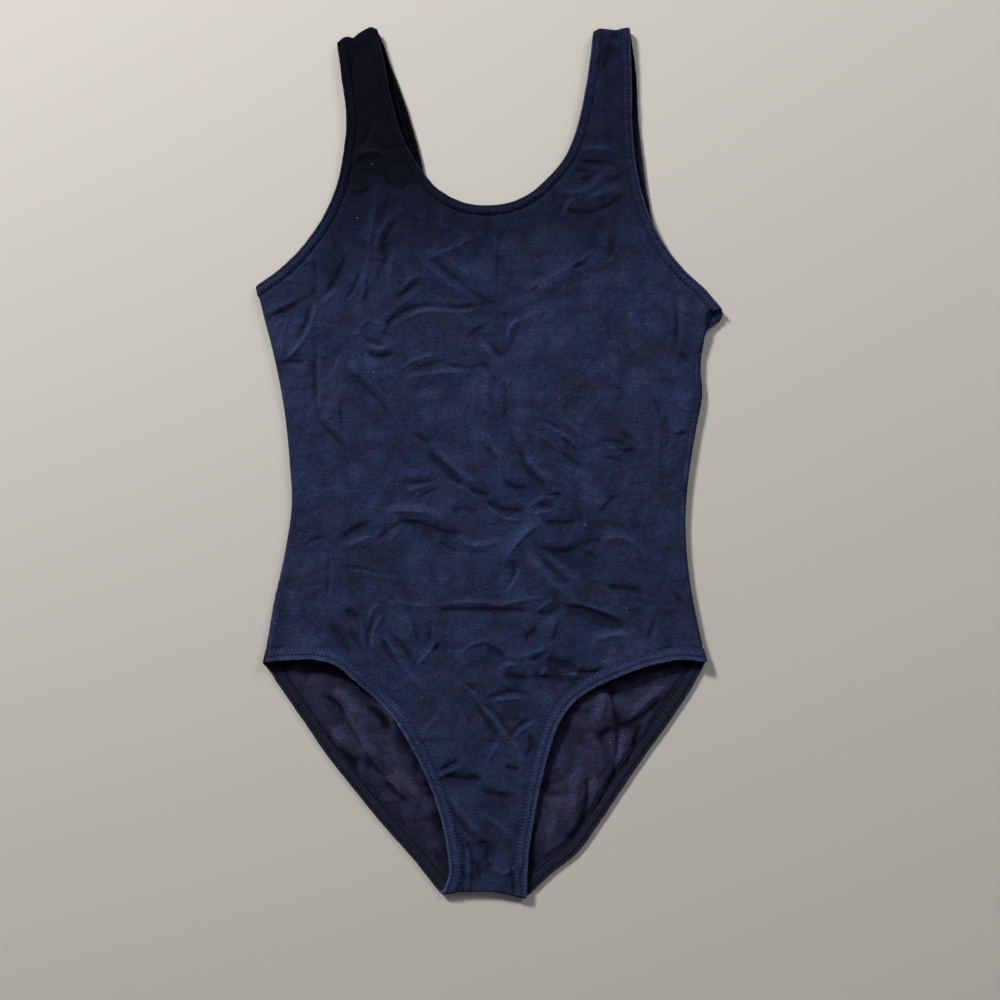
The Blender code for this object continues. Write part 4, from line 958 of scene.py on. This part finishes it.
def makeHem(name, layer, outerEdge, innerEdge, kind, inward, finish, seed):
    width, t, height = hemSection(kind, layer)
    stations, thick = len(outerEdge), hemForm["thickness"]
    along = np.arange(stations) * hemForm["stitchPitch"] / hemForm["stationsAStitch"]
    ruffle = sum(
        share * softNoise(along, np.full(stations, seed * 7.0), size, seed + k)
        for k, (size, share) in enumerate(hemForm["ruffles"])
    )
    waverSize, waverHeight = hemForm["edgeWaver"]
    edgeWaver = waverHeight * softNoise(along, np.full(stations, seed * 3.0), waverSize, seed + 2)
    pull = np.cos(2 * np.pi * np.arange(stations) / hemForm["stationsAStitch"])
    middle, half = np.mean(kind["rows"]), np.diff(kind["rows"])[0] * hemForm["ruffledShare"]
    ruffled = bell(t - middle, half) + hemForm["lipRuffle"] * bell(t, hemForm["lipWidth"])
    run = innerEdge - outerEdge
    run = run / np.linalg.norm(run, axis=1)[:, None]
    order = [(k, True) for k in range(len(t))]
    order += [(k, False) for k in reversed(range(len(t))) if k % hemForm["hiddenEvery"] == 0]
    rings = []
    for k, shows in order:
        share = t[k] / width
        flat = outerEdge * (1 - share) + innerEdge * share + run * (edgeWaver * (1 - share))[:, None]
        if shows:
            # the seam is flatter and looser up on the straps
            held = 1 - hemForm["lessOnStraps"] * smoothStep(*lyingForm["straps"], flat[:, 1])
            level = height[k] * (held if t[k] > hemForm["rounding"] else 1.0)
            rise = level + hemForm["ruffle"] * ruffle * ruffled[k]
            # the thread pulls the cloth down at each needle hole, and it puckers up between them
            for row, reach in zip(kind["rows"], hemForm["puckerReach"]):
                rise = rise - held * hemForm["pucker"] * pull * bell(t[k] - row, reach)
        else:
            rise = np.full(stations, hemForm["hiddenRounding"] * rimRounding(t[k]) - thick)
            if t[k] > width - hemForm["hiddenEnd"]:
                rise = rise + hemForm["hiddenEndRise"]
        if layer == "back":
            rise = -(rise + thick)
        rings.append(layOut(flat[:, 0], flat[:, 1], layer, rise)[0])
    points = np.stack(rings, axis=1).reshape(-1, 3)
    if layer == "back":
        points[:, 2] = np.maximum(points[:, 2], hemForm["offFloor"])
    loop = len(order)
    faces = ringFaces(stations, loop)
    if inward < 0:
        faces = [face[::-1] for face in faces]
    piece = addMesh(name, points, faces, finish, hemForm["sharpAngle"])
    index = np.empty(len(piece.data.loops), int)
    piece.data.loops.foreach_get("vertex_index", index)
    across = np.array([t[k] for k, _ in order])[index % loop]
    uv = np.stack([(index // loop) / hemForm["stationsAStitch"], across], axis=-1)
    mapping = piece.data.uv_layers.new(name="alongAndAcross")
    mapping.data.foreach_set("uv", uv.astype(np.float32).ravel())
    return piece


def stitchPoints(layer, outerEdge, innerEdge, kind, across, lift):
    # one point for each stitch at this distance from the edge, the way along and the way out
    step, share = hemForm["stationsAStitch"], across / hemWidth(kind, layer)
    flat = (outerEdge * (1 - share) + innerEdge * share)[step::step][:-1]
    if layer == "front":
        out = hemForm["proud"] - kind["sink"] + lift
    else:
        out = -(hemForm["thickness"] + hemForm["proud"] + lift)
    points, normal = layOut(flat[:, 0], flat[:, 1], layer, np.full(len(flat), out))
    along = np.gradient(points, axis=0)
    along /= np.linalg.norm(along, axis=1)[:, None]
    return points, along, normal if layer == "front" else -normal


def makeTube(path, radius, around):
    # a closed thread along a short path, as points and faces in millimetres
    path = np.array(path, float)
    runs = np.gradient(path, axis=0)
    runs /= np.linalg.norm(runs, axis=1)[:, None]
    beside = np.cross(runs, [0.0, 0.0, 1.0])
    beside /= np.linalg.norm(beside, axis=1)[:, None]
    over = np.cross(beside, runs)
    turns = np.linspace(0, 2 * np.pi, around, endpoint=False)
    points = [
        p + radius * (np.cos(a) * b + np.sin(a) * o)
        for p, b, o in zip(path, beside, over) for a in turns
    ]
    return np.array(points), ringFaces(len(path), around)


def needleStitch():
    # an arch over the cloth, with both ends drawn into their needle holes
    form = threadForms["needle"]
    path = [
        (form["half"] * s, 0.0, form["rise"] * (1 - s * s) - form["drop"] * s**4)
        for s in np.linspace(-1, 1, form["points"])
    ]
    return makeTube(path, form["radius"], form["sides"])


def looperThreads(kind):
    # the two threads that cross between the needle rows on the inside of a hem
    form = threadForms["looper"]
    half, pitch = (kind["rows"][1] - kind["rows"][0]) / 2, hemForm["stitchPitch"]
    points, faces = [], []
    for side in (-1, 1):
        path = [
            (pitch / 2 * s, side * half * np.cos(np.pi * s),
             form["rise"] + form["crossing"] * side * np.cos(2 * np.pi * s))
            for s in np.linspace(-1, 1, form["points"])
        ]
        more, moreFaces = makeTube(path, form["radius"], form["sides"])
        faces += [tuple(i + len(points) * len(more) for i in face) for face in moreFaces]
        points.append(more)
    return np.vstack(points), faces


# Nodes

# name and kind of each input of the stitch nodes
stitchInputs = {
    "Geometry": "Geometry", "Stitch": "Object", "Thread": "Material",
    "Unevenness": "Float", "Seed": "Int",
}


def addNode(tree, kind, inputs, **settings):
    node = tree.nodes.new(kind)
    for label, value in settings.items():
        setattr(node, label, value)
    for label, value in inputs.items():
        if isinstance(value, bpy.types.NodeSocket):
            tree.links.new(value, node.inputs[label])
        else:
            node.inputs[label].default_value = value
    return node


def stitchNodes():
    # one thread form set on every stitch of a hem
    tree = bpy.data.node_groups.new("stitches along a hem", "GeometryNodeTree")
    tree.is_modifier = True
    for label, kind in stitchInputs.items():
        tree.interface.new_socket(name=label, in_out="INPUT", socket_type="NodeSocket" + kind)
    tree.interface.new_socket(name="Geometry", in_out="OUTPUT", socket_type="NodeSocketGeometry")
    given = addNode(tree, "NodeGroupInput", {}).outputs
    stitch = addNode(
        tree, "GeometryNodeObjectInfo", {"Object": given["Stitch"]}, transform_space="ORIGINAL"
    )
    along, outward = (
        addNode(tree, "GeometryNodeInputNamedAttribute", {"Name": label}, data_type="FLOAT_VECTOR")
        for label in ("along", "outward")
    )
    turn = addNode(
        tree, "FunctionNodeAxesToRotation",
        {"Primary Axis": along.outputs["Attribute"], "Secondary Axis": outward.outputs["Attribute"]},
        primary_axis="X", secondary_axis="Z",
    )
    whole = (1.0, 1.0, 1.0)
    spread = addNode(
        tree, "ShaderNodeVectorMath", {0: whole, "Scale": given["Unevenness"]}, operation="SCALE"
    )
    least, most = (
        addNode(tree, "ShaderNodeVectorMath", {0: whole, 1: spread.outputs["Vector"]}, operation=way)
        for way in ("SUBTRACT", "ADD")
    )
    size = addNode(
        tree, "FunctionNodeRandomValue",
        {"Min": least.outputs["Vector"], "Max": most.outputs["Vector"], "Seed": given["Seed"]},
        data_type="FLOAT_VECTOR",
    )
    placed = addNode(tree, "GeometryNodeInstanceOnPoints", {
        "Points": given["Geometry"], "Instance": stitch.outputs["Geometry"],
        "Rotation": turn.outputs["Rotation"], "Scale": size.outputs["Value"],
    })
    real = addNode(tree, "GeometryNodeRealizeInstances", {"Geometry": placed.outputs["Instances"]})
    coloured = addNode(tree, "GeometryNodeSetMaterial", {
        "Geometry": real.outputs["Geometry"], "Material": given["Thread"],
    })
    addNode(tree, "NodeGroupOutput", {"Geometry": coloured.outputs["Geometry"]})
    return tree


def addStitches(name, marks, form, finish, unevenness, seed):
    points, along, outward = marks
    formPoints, formFaces = form
    formMesh = bpy.data.meshes.new(name + "_form")
    formMesh.from_pydata((formPoints * mm).tolist(), [], formFaces)
    formMesh.shade_smooth()
    stitch = addObject(name + "_form", formMesh)
    pointMesh = bpy.data.meshes.new(name)
    pointMesh.from_pydata((points * mm).tolist(), [], [])
    for label, values in (("along", along), ("outward", outward)):
        ways = pointMesh.attributes.new(label, "FLOAT_VECTOR", "POINT")
        ways.data.foreach_set("vector", values.ravel())
    piece = addObject(name, pointMesh)
    laying = piece.modifiers.new("stitches", "NODES")
    laying.node_group = stitchTree
    sockets = {s.name: s.identifier for s in stitchTree.interface.items_tree if s.in_out == "INPUT"}
    laying[sockets["Stitch"]] = stitch
    laying[sockets["Thread"]] = finish
    laying[sockets["Unevenness"]] = unevenness
    laying[sockets["Seed"]] = seed
    graph = bpy.context.evaluated_depsgraph_get()
    made = bpy.data.meshes.new_from_object(piece.evaluated_get(graph))
    made.name = name
    piece.modifiers.clear()
    piece.data = made
    bpy.data.objects.remove(stitch, do_unlink=True)
    return piece


# Cloth

# The colours are of the bare cloth, except the painted shade and highlight in the looks below, and sizes
# and distances are in millimetres
cloth = {
    "blotch": 20.0, "blotchEdges": (0.36, 0.64), "toneEdges": (0.3, 0.7), "reliefEdges": (0.1, 0.9),
    "loopShape": (0.75, 1.25, 1.0), "speckle": 1.5, "speckleHeight": 0.65,
    "speckleDark": (0.55, 0.55, 0.55), "speckleLight": (1.5, 1.5, 1.5),
    "wear": 8.0, "wearDark": (0.89, 0.88, 0.91), "wearLight": (1.11, 1.12, 1.10),
    "course": 0.95, "courseWaver": 2.2, "courseHeight": 0.32,
    "wrinkle": 6.5, "wrinkleDepth": 1.5, "bump": 0.8, "bumpHeight": 0.3, "sheen": 0.02,
    "lintColour": (0.15, 0.17, 0.20), "lintEdge": 0.012,
}
looks = {
    # creasePaintedShade darkens creases as painted shade, and ridgePaintedHighlight lightens ridges as a
    # painted highlight
    "face": {
        **cloth, "blue": (0.0108, 0.0178, 0.0462), "dull": (0.0126, 0.0163, 0.0405),
        "creasePaintedShade": (0.52, 0.48, 0.50), "ridgePaintedHighlight": (1.46, 1.48, 1.45), "roughness": 0.92,
        "deep": (0.0010, 0.0010, 0.0038), "topPaintedShade": 0.0, "lint": 0.016, "lintApart": 19.0,
    },
    "inside": {
        **cloth, "blue": (0.0138, 0.0163, 0.0355), "dull": (0.0158, 0.0142, 0.0305),
        "creasePaintedShade": (0.24, 0.21, 0.27), "ridgePaintedHighlight": (1.60, 1.65, 1.65), "roughness": 0.95,
        "deep": (0.0005, 0.0005, 0.0012), "topPaintedShade": 0.94, "lint": 0.014, "lintApart": 20.0,
    },
}
clothShine = {"Sheen Roughness": 0.6, "Sheen Tint": (0.72, 0.8, 1.0, 1.0), "Specular IOR Level": 0.03}
# how much brighter a hem is than its cloth, outside and inside
hemLooks = {
    "neck": {"brighter": (1.15, 0.9), "lip": (4.0, 3.5, 2.9), "holeShade": 0.34},
    "armhole": {"brighter": (1.2, 0.9), "lip": (2.6, 2.3, 2.0), "holeShade": 0.34},
    "leg": {"brighter": (1.4, 0.6), "lip": (2.4, 2.1, 1.8), "holeShade": 0.18},
}
holeForm = {
    "alongSqueeze": 1.5, "acrossSqueeze": (0.8, 0.42), "dark": (0.25, 0.75), "sunk": (0.2, 0.9),
    "depth": 1.5, "closedOnStraps": 0.85, "lip": (0.6, 1.6),
}
threadLook = {
    "front": (0.015, 0.022, 0.048), "back": (0.024, 0.029, 0.052), "deep": (0.0010, 0.0013, 0.0036),
    "roughness": 0.7, "twist": 0.5, "twistDark": (0.7, 0.7, 0.7), "twistLight": (1.3, 1.3, 1.3),
}
# darker towards the straps, and painted shade over the inside's tops beside the straps
strapDarkening = {
    "leftward": (90, -60), "leftMore": 0.42, "least": 0.55, "upward": (80, 228), "top": (215, 262),
}


def newMaterial(name, roughness, sheen=0.0):
    made = bpy.data.materials.new(name)
    made.use_nodes = True
    shader = made.node_tree.nodes["Principled BSDF"]
    for label, value in {**clothShine, "Roughness": roughness, "Sheen Weight": sheen}.items():
        shader.inputs[label].default_value = value
    where = addNode(made.node_tree, "ShaderNodeTexCoord", {}).outputs["Object"]
    return made, made.node_tree, shader, where


def noiseNode(tree, where, size, detail, roughness=0.5):
    inputs = {"Vector": where, "Scale": 1 / (size * mm), "Detail": detail, "Roughness": roughness}
    return addNode(tree, "ShaderNodeTexNoise", inputs).outputs["Fac"]


def rampNode(tree, value, low, high, lowColour, highColour):
    ramp = addNode(tree, "ShaderNodeValToRGB", {"Fac": value})
    for stop, place, colour in zip(ramp.color_ramp.elements, (low, high), (lowColour, highColour)):
        stop.position = place
        stop.color = (*colour, 1)
    return ramp.outputs["Color"]


def mixNode(tree, factor, first, second, kind="MIX"):
    inputs = {0: factor, 6: first, 7: second}
    return addNode(tree, "ShaderNodeMix", inputs, data_type="RGBA", blend_type=kind).outputs[2]


def tinted(tree, colour, tone):
    return mixNode(tree, 1.0, colour, tone, "MULTIPLY")


def easedNode(tree, value, start, finish):
    # 0 before start and 1 after finish, both in millimetres
    inputs = {"Value": value, "From Min": start * mm, "From Max": finish * mm}
    eased = addNode(tree, "ShaderNodeMapRange", inputs, interpolation_type="SMOOTHSTEP")
    return eased.outputs["Result"]


def mathNode(tree, operation, *values):
    return addNode(tree, "ShaderNodeMath", dict(enumerate(values)), operation=operation).outputs[0]


def placeNodes(tree, where):
    place = addNode(tree, "ShaderNodeSeparateXYZ", {"Vector": where})
    return place.outputs["X"], place.outputs["Y"]


def attributeNode(tree, label):
    return addNode(tree, "ShaderNodeAttribute", {}, attribute_name=label).outputs["Fac"]


def darkerStraps(tree, where, colour, deep, topPaintedShade):
    # darker towards the straps and most of all on the left one, and on the inside painted shade over the
    # tops beside the straps
    x, y = placeNodes(tree, where)
    leftward = easedNode(tree, x, *strapDarkening["leftward"])
    most = mathNode(tree, "MULTIPLY_ADD", leftward, strapDarkening["leftMore"], strapDarkening["least"])
    fade = mathNode(tree, "MULTIPLY", easedNode(tree, y, *strapDarkening["upward"]), most)
    # painted shade over the tops of the inside beside the straps, which lie in shadow
    top = mathNode(tree, "MULTIPLY", easedNode(tree, y, *strapDarkening["top"]), topPaintedShade)
    return mixNode(tree, mathNode(tree, "MAXIMUM", fade, top), colour, (*deep, 1))


def thread(name, colour, topPaintedShade):
    made, tree, shader, where = newMaterial(name, threadLook["roughness"])
    twist = noiseNode(tree, where, threadLook["twist"], 1.0)
    tone = rampNode(tree, twist, *cloth["toneEdges"], threadLook["twistDark"], threadLook["twistLight"])
    colour = tinted(tree, (*colour, 1), tone)
    colour = darkerStraps(tree, where, colour, threadLook["deep"], topPaintedShade)
    tree.links.new(colour, shader.inputs["Base Color"])
    return made


def knitNodes(tree, where, look):
    # the knit, as rows of loops that read as a fine speckle, and the finest wrinkles of worn jersey
    stretch = addNode(tree, "ShaderNodeMapping", {"Vector": where, "Scale": look["loopShape"]})
    speckle = noiseNode(tree, stretch.outputs["Vector"], look["speckle"], 3.0, 0.7)
    # the wave texture has a row to every 0.314 of its scale
    rows = addNode(tree, "ShaderNodeTexWave", {
        "Vector": where, "Scale": 0.314 / (look["course"] * mm),
        "Distortion": look["courseWaver"], "Detail": 1.0, "Detail Scale": 2.0,
    }, bands_direction="Y")
    loops = mathNode(tree, "MULTIPLY", speckle, look["speckleHeight"])
    height = mathNode(tree, "MULTIPLY_ADD", rows.outputs["Fac"], look["courseHeight"], loops)
    wrinkles = addNode(tree, "ShaderNodeTexNoise", {
        "Vector": where, "Scale": 1 / (look["wrinkle"] * mm), "Detail": 2.0, "Distortion": 0.6,
    }, noise_type="RIDGED_MULTIFRACTAL")
    wrinkled = mathNode(tree, "MULTIPLY", wrinkles.outputs["Fac"], look["wrinkleDepth"])
    return speckle, mathNode(tree, "ADD", height, wrinkled)


def jersey(name, look, hem=None):
    made, tree, shader, where = newMaterial(name, look["roughness"], look["sheen"])
    blotch = noiseNode(tree, where, look["blotch"], 3.0)
    colour = rampNode(tree, blotch, *look["blotchEdges"], look["dull"], look["blue"])
    if not hem:
        # both panels are bluer on the outer face, which shows where a seam has rolled round
        outer = rampNode(tree, blotch, *look["blotchEdges"], looks["face"]["dull"], looks["face"]["blue"])
        colour = mixNode(tree, attributeNode(tree, "outerFace"), colour, outer)
    speckle, height = knitNodes(tree, where, look)
    knitted = rampNode(tree, speckle, *look["toneEdges"], look["speckleDark"], look["speckleLight"])
    colour = tinted(tree, colour, knitted)
    # wear, in patches as wide as the fine wrinkles
    wear = noiseNode(tree, where, look["wear"], 4.0, 0.6)
    wear = rampNode(tree, wear, *look["toneEdges"], look["wearDark"], look["wearLight"])
    colour = tinted(tree, colour, wear)
    if hem:
        colour, height, lip = hemMarks(tree, where, colour, height, hem)
    else:
        # painted light: creases get painted shade and ridges a painted highlight, following the relief
        reliefLevel = mathNode(tree, "MULTIPLY_ADD", attributeNode(tree, "relief"), 0.5, 0.5)
        paintedCreaseLight = rampNode(tree, reliefLevel, *look["reliefEdges"], look["creasePaintedShade"], look["ridgePaintedHighlight"])
        colour = tinted(tree, colour, paintedCreaseLight)
    colour = darkerStraps(tree, where, colour, look["deep"], look["topPaintedShade"])
    if hem:
        colour = tinted(tree, colour, lip)
    spread = {"Vector": where, "Scale": 1 / (look["lintApart"] * mm)}
    lint = addNode(tree, "ShaderNodeTexVoronoi", spread)
    outside = look["lint"] + look["lintEdge"]
    speck = rampNode(tree, lint.outputs["Distance"], look["lint"], outside, white, black)
    colour = mixNode(tree, speck, colour, (*look["lintColour"], 1))
    tree.links.new(colour, shader.inputs["Base Color"])
    raised = {"Strength": look["bump"], "Distance": look["bumpHeight"] * mm, "Height": height}
    bump = addNode(tree, "ShaderNodeBump", raised)
    tree.links.new(bump.outputs["Normal"], shader.inputs["Normal"])
    return made


def hemMarks(tree, where, colour, height, hem):
    # needle holes at every stitch of both rows, darkened with painted shade in their dips, and a paler
    # rolled lip
    marks = addNode(tree, "ShaderNodeUVMap", {}, uv_map="alongAndAcross")
    along, across = placeNodes(tree, marks.outputs["UV"])
    toHole = mathNode(tree, "PINGPONG", mathNode(tree, "ADD", along, 0.5), 0.5)
    toHole = mathNode(tree, "MULTIPLY", mathNode(tree, "SUBTRACT", 0.5, toHole), hemForm["stitchPitch"])
    toHole = mathNode(tree, "MULTIPLY", toHole, holeForm["alongSqueeze"])
    away = []
    for row, squeeze in zip(hem["rows"], holeForm["acrossSqueeze"]):
        off = mathNode(tree, "MULTIPLY", mathNode(tree, "SUBTRACT", across, row), squeeze)
        squares = (mathNode(tree, "POWER", off, 2.0), mathNode(tree, "POWER", toHole, 2.0))
        away.append(mathNode(tree, "SQRT", mathNode(tree, "ADD", *squares)))
    nearest = mathNode(tree, "MINIMUM", *away)
    holeShade = rampNode(tree, nearest, *holeForm["dark"], (hem["holeShade"],) * 3, white)
    # the holes close up on the straps, where the hems are stretched less, so their painted shade fades
    # out
    onStraps = easedNode(tree, placeNodes(tree, where)[1], *lyingForm["straps"])
    closed = mathNode(tree, "MULTIPLY", onStraps, holeForm["closedOnStraps"])
    holeShade = mixNode(tree, closed, holeShade, (*white, 1))
    tenths = mathNode(tree, "DIVIDE", across, 10.0)
    lip = rampNode(tree, tenths, *(t / 10 for t in holeForm["lip"]), hem["lip"], white)
    sink = rampNode(tree, nearest, *holeForm["sunk"], black, white)
    height = mathNode(tree, "ADD", height, mathNode(tree, "MULTIPLY", sink, holeForm["depth"]))
    return tinted(tree, colour, holeShade), height, lip


def hemJersey(kindName, layer):
    hem = hemLooks[kindName]
    look = looks["face" if layer == "front" else "inside"]
    brighter = hem["brighter"][0 if layer == "front" else 1]
    tones = {part: tuple(brighter * c for c in look[part]) for part in ("blue", "dull")}
    marks = {"rows": hemKinds[kindName]["rows"], "lip": hem["lip"], "holeShade": hem["holeShade"]}
    return jersey(f"{kindName} hem {layer}", {**look, **tones, "lint": 0.0}, marks)


finishes = {
    "front": jersey("navy jersey", looks["face"]),
    "back": jersey("navy jersey inside", looks["inside"]),
}
for kindName in hemLooks:
    for layer in ("front", "back"):
        finishes[kindName, layer] = hemJersey(kindName, layer)
# the inside thread gets the same painted shade beside the straps
threads = {
    "front": thread("navy thread", threadLook["front"], looks["face"]["topPaintedShade"]),
    "back": thread("navy thread inside", threadLook["back"], looks["inside"]["topPaintedShade"]),
}
stitchTree = stitchNodes()
print("materials made")


# The garment

def hemEdges(cut, inward, width, start, finish):
    edge = smoothCurve(cut)
    lines = [
        between(stretched(movedIn(edge, distance, inward)), start, finish)
        for distance in (0.0, width, width - hemForm["underlap"])
    ]
    stitches = int(round(lengthAlong(lines[0])[-1] / hemForm["stitchPitch"]))
    shares = np.linspace(0, 1, stitches * hemForm["stationsAStitch"] + 1)
    return [atShares(line, shares) for line in lines]


def everySecond(line):
    thinned = line[:: hemForm["stationsAStitch"] // 2]
    return thinned if np.all(thinned[-1] == line[-1]) else np.vstack([thinned, line[-1]])


def hemStitches(label, layer, outer, inner, kind, seed):
    form = threadForms["needle" if layer == "front" else "looper"]
    if layer == "front":
        rows = [stitchPoints(layer, outer, inner, kind, row, form["lift"]) for row in kind["rows"]]
        marks, shape = [np.vstack(columns) for columns in zip(*rows)], needleStitch()
    else:
        marks = stitchPoints(layer, outer, inner, kind, np.mean(kind["rows"]), form["lift"])
        shape = looperThreads(kind)
    name = f"{label}_{form['label']}_{layer}"
    return addStitches(name, marks, shape, threads[layer], form["unevenness"], seed)


def makeLayer(layer, form):
    seams = {end: endSeam(end) for end in ends}
    seams.update({"left": sideSeam(-1, layer), "right": sideSeam(1, layer)})
    beside, hems, stitches, hemLines = {}, {}, [], []
    for seed, plan in enumerate(hemPlans):
        kind = hemKinds[plan.kind]
        width = hemWidth(kind, layer)
        cut = cutEdges[layer][plan.cut]
        outer, inner, panel = hemEdges(cut, plan.inward, width, seams[plan.start], seams[plan.finish])
        hems[plan.label] = makeHem(
            f"{plan.label}_edge_{layer}", layer, outer, inner, kind, plan.inward,
            finishes[plan.kind, layer], seed + hemForm["firstSeed"],
        )
        beside[plan.cut] = everySecond(panel)
        stitches.append(hemStitches(plan.label, layer, outer, inner, kind, seed))
        hemLines.append(movedIn(coarseEdge(layer, plan.cut), width, plan.inward))
    # round the panel: each hem line, then the seam from its end to the start of the next
    rims = [beside[part.cut][::-1] if part.turned else beside[part.cut] for part in rimOrder]
    outline = []
    for part, rim, nextRim in zip(rimOrder, rims, rims[1:] + rims[:1]):
        outline += [rim[:-1], seamBetween(seams[part.seam], rim[-1], nextRim[0])]
    seamLines = [seams[seam][::step] for seam, step in seamSteps.items()]
    panel = makePanel(form, layer, np.vstack(outline), seamLines + hemLines, finishes[layer])
    return panel, hems, stitches


panels, hemPieces, stitchPieces = {}, {}, {}
for layer, form in (("front", frontPanel), ("back", backPanel)):
    panels[layer], hemPieces[layer], stitchPieces[layer] = makeLayer(layer, form)
    print(layer, "made:", len(panels[layer].data.polygons), "faces in the panel")

# The floor, the light and the camera, which looks straight down

# The room is in metres, watts and degrees
floorForm = {"size": 6.0, "height": -0.0005, "colour": (0.42, 0.40, 0.37), "roughness": 0.9}
lights = {
    "window_light": {
        "azimuth": 128, "elevation": 31, "distance": 2.4, "size": 0.36, "power": 90,
        "colour": (1.0, 0.98, 0.95),
    },
    "side_light": {
        "azimuth": 52, "elevation": 36, "distance": 2.4, "size": 1.0, "power": 24,
        "colour": (1.0, 1.0, 1.0),
    },
}
room = {"colour": (0.9, 0.95, 1.0), "strength": 0.15}
view = {"x": 7.35, "y": -26.25, "height": 761.0, "lens": 38.9}

bpy.ops.mesh.primitive_plane_add(size=floorForm["size"], location=(0, 0, floorForm["height"]))
floor = bpy.context.object
floor.name = "pale_floor"
floorMaterial = bpy.data.materials.new("pale floor")
floorMaterial.use_nodes = True
floorShader = floorMaterial.node_tree.nodes["Principled BSDF"]
floorShader.inputs["Base Color"].default_value = (*floorForm["colour"], 1)
floorShader.inputs["Roughness"].default_value = floorForm["roughness"]
floor.data.materials.append(floorMaterial)


def addLight(name, form):
    lamp = addObject(name, bpy.data.lights.new(name, "AREA"))
    lamp.data.size, lamp.data.energy, lamp.data.color = form["size"], form["power"], form["colour"]
    azimuth, elevation = np.radians(form["azimuth"]), np.radians(form["elevation"])
    level = np.cos(elevation)
    aim = Vector((np.cos(azimuth) * level, np.sin(azimuth) * level, np.sin(elevation)))
    lamp.location = aim * form["distance"]
    lamp.rotation_euler = aim.to_track_quat("Z", "Y").to_euler()


for name, form in lights.items():
    addLight(name, form)
world = bpy.data.worlds.new("soft room")
bpy.context.scene.world = world
world.use_nodes = True
background = world.node_tree.nodes["Background"]
background.inputs["Color"].default_value = (*room["colour"], 1)
background.inputs["Strength"].default_value = room["strength"]

camera = addObject("camera", bpy.data.cameras.new("camera"))
camera.location = tuple(view[axis] * mm for axis in ("x", "y", "height"))
camera.data.lens = view["lens"]
bpy.context.scene.camera = camera
bpy.context.scene.view_settings.view_transform = "Standard"
print("light and camera set")

# Each piece is hung on the root, and the frame's part that it stands for is hidden

sheetFacts = {
    "front": {"slot": "jersey_face", "hemSlot": "hem_face", "flat": (0.334, 0.612), "area": 0.107},
    "back": {"slot": "jersey_inside", "hemSlot": "hem_inside", "flat": (0.340, 0.612), "area": 0.1175},
}

for layer, facts in sheetFacts.items():
    panel = panels[layer]
    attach(panel, "root")
    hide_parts(f"{layer}_panel")
    for plan in hemPlans:
        hem = hemPieces[layer][plan.label]
        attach(hem, "root")
        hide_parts(f"{plan.node}_{layer}")
    for piece in stitchPieces[layer]:
        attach(piece, "root")
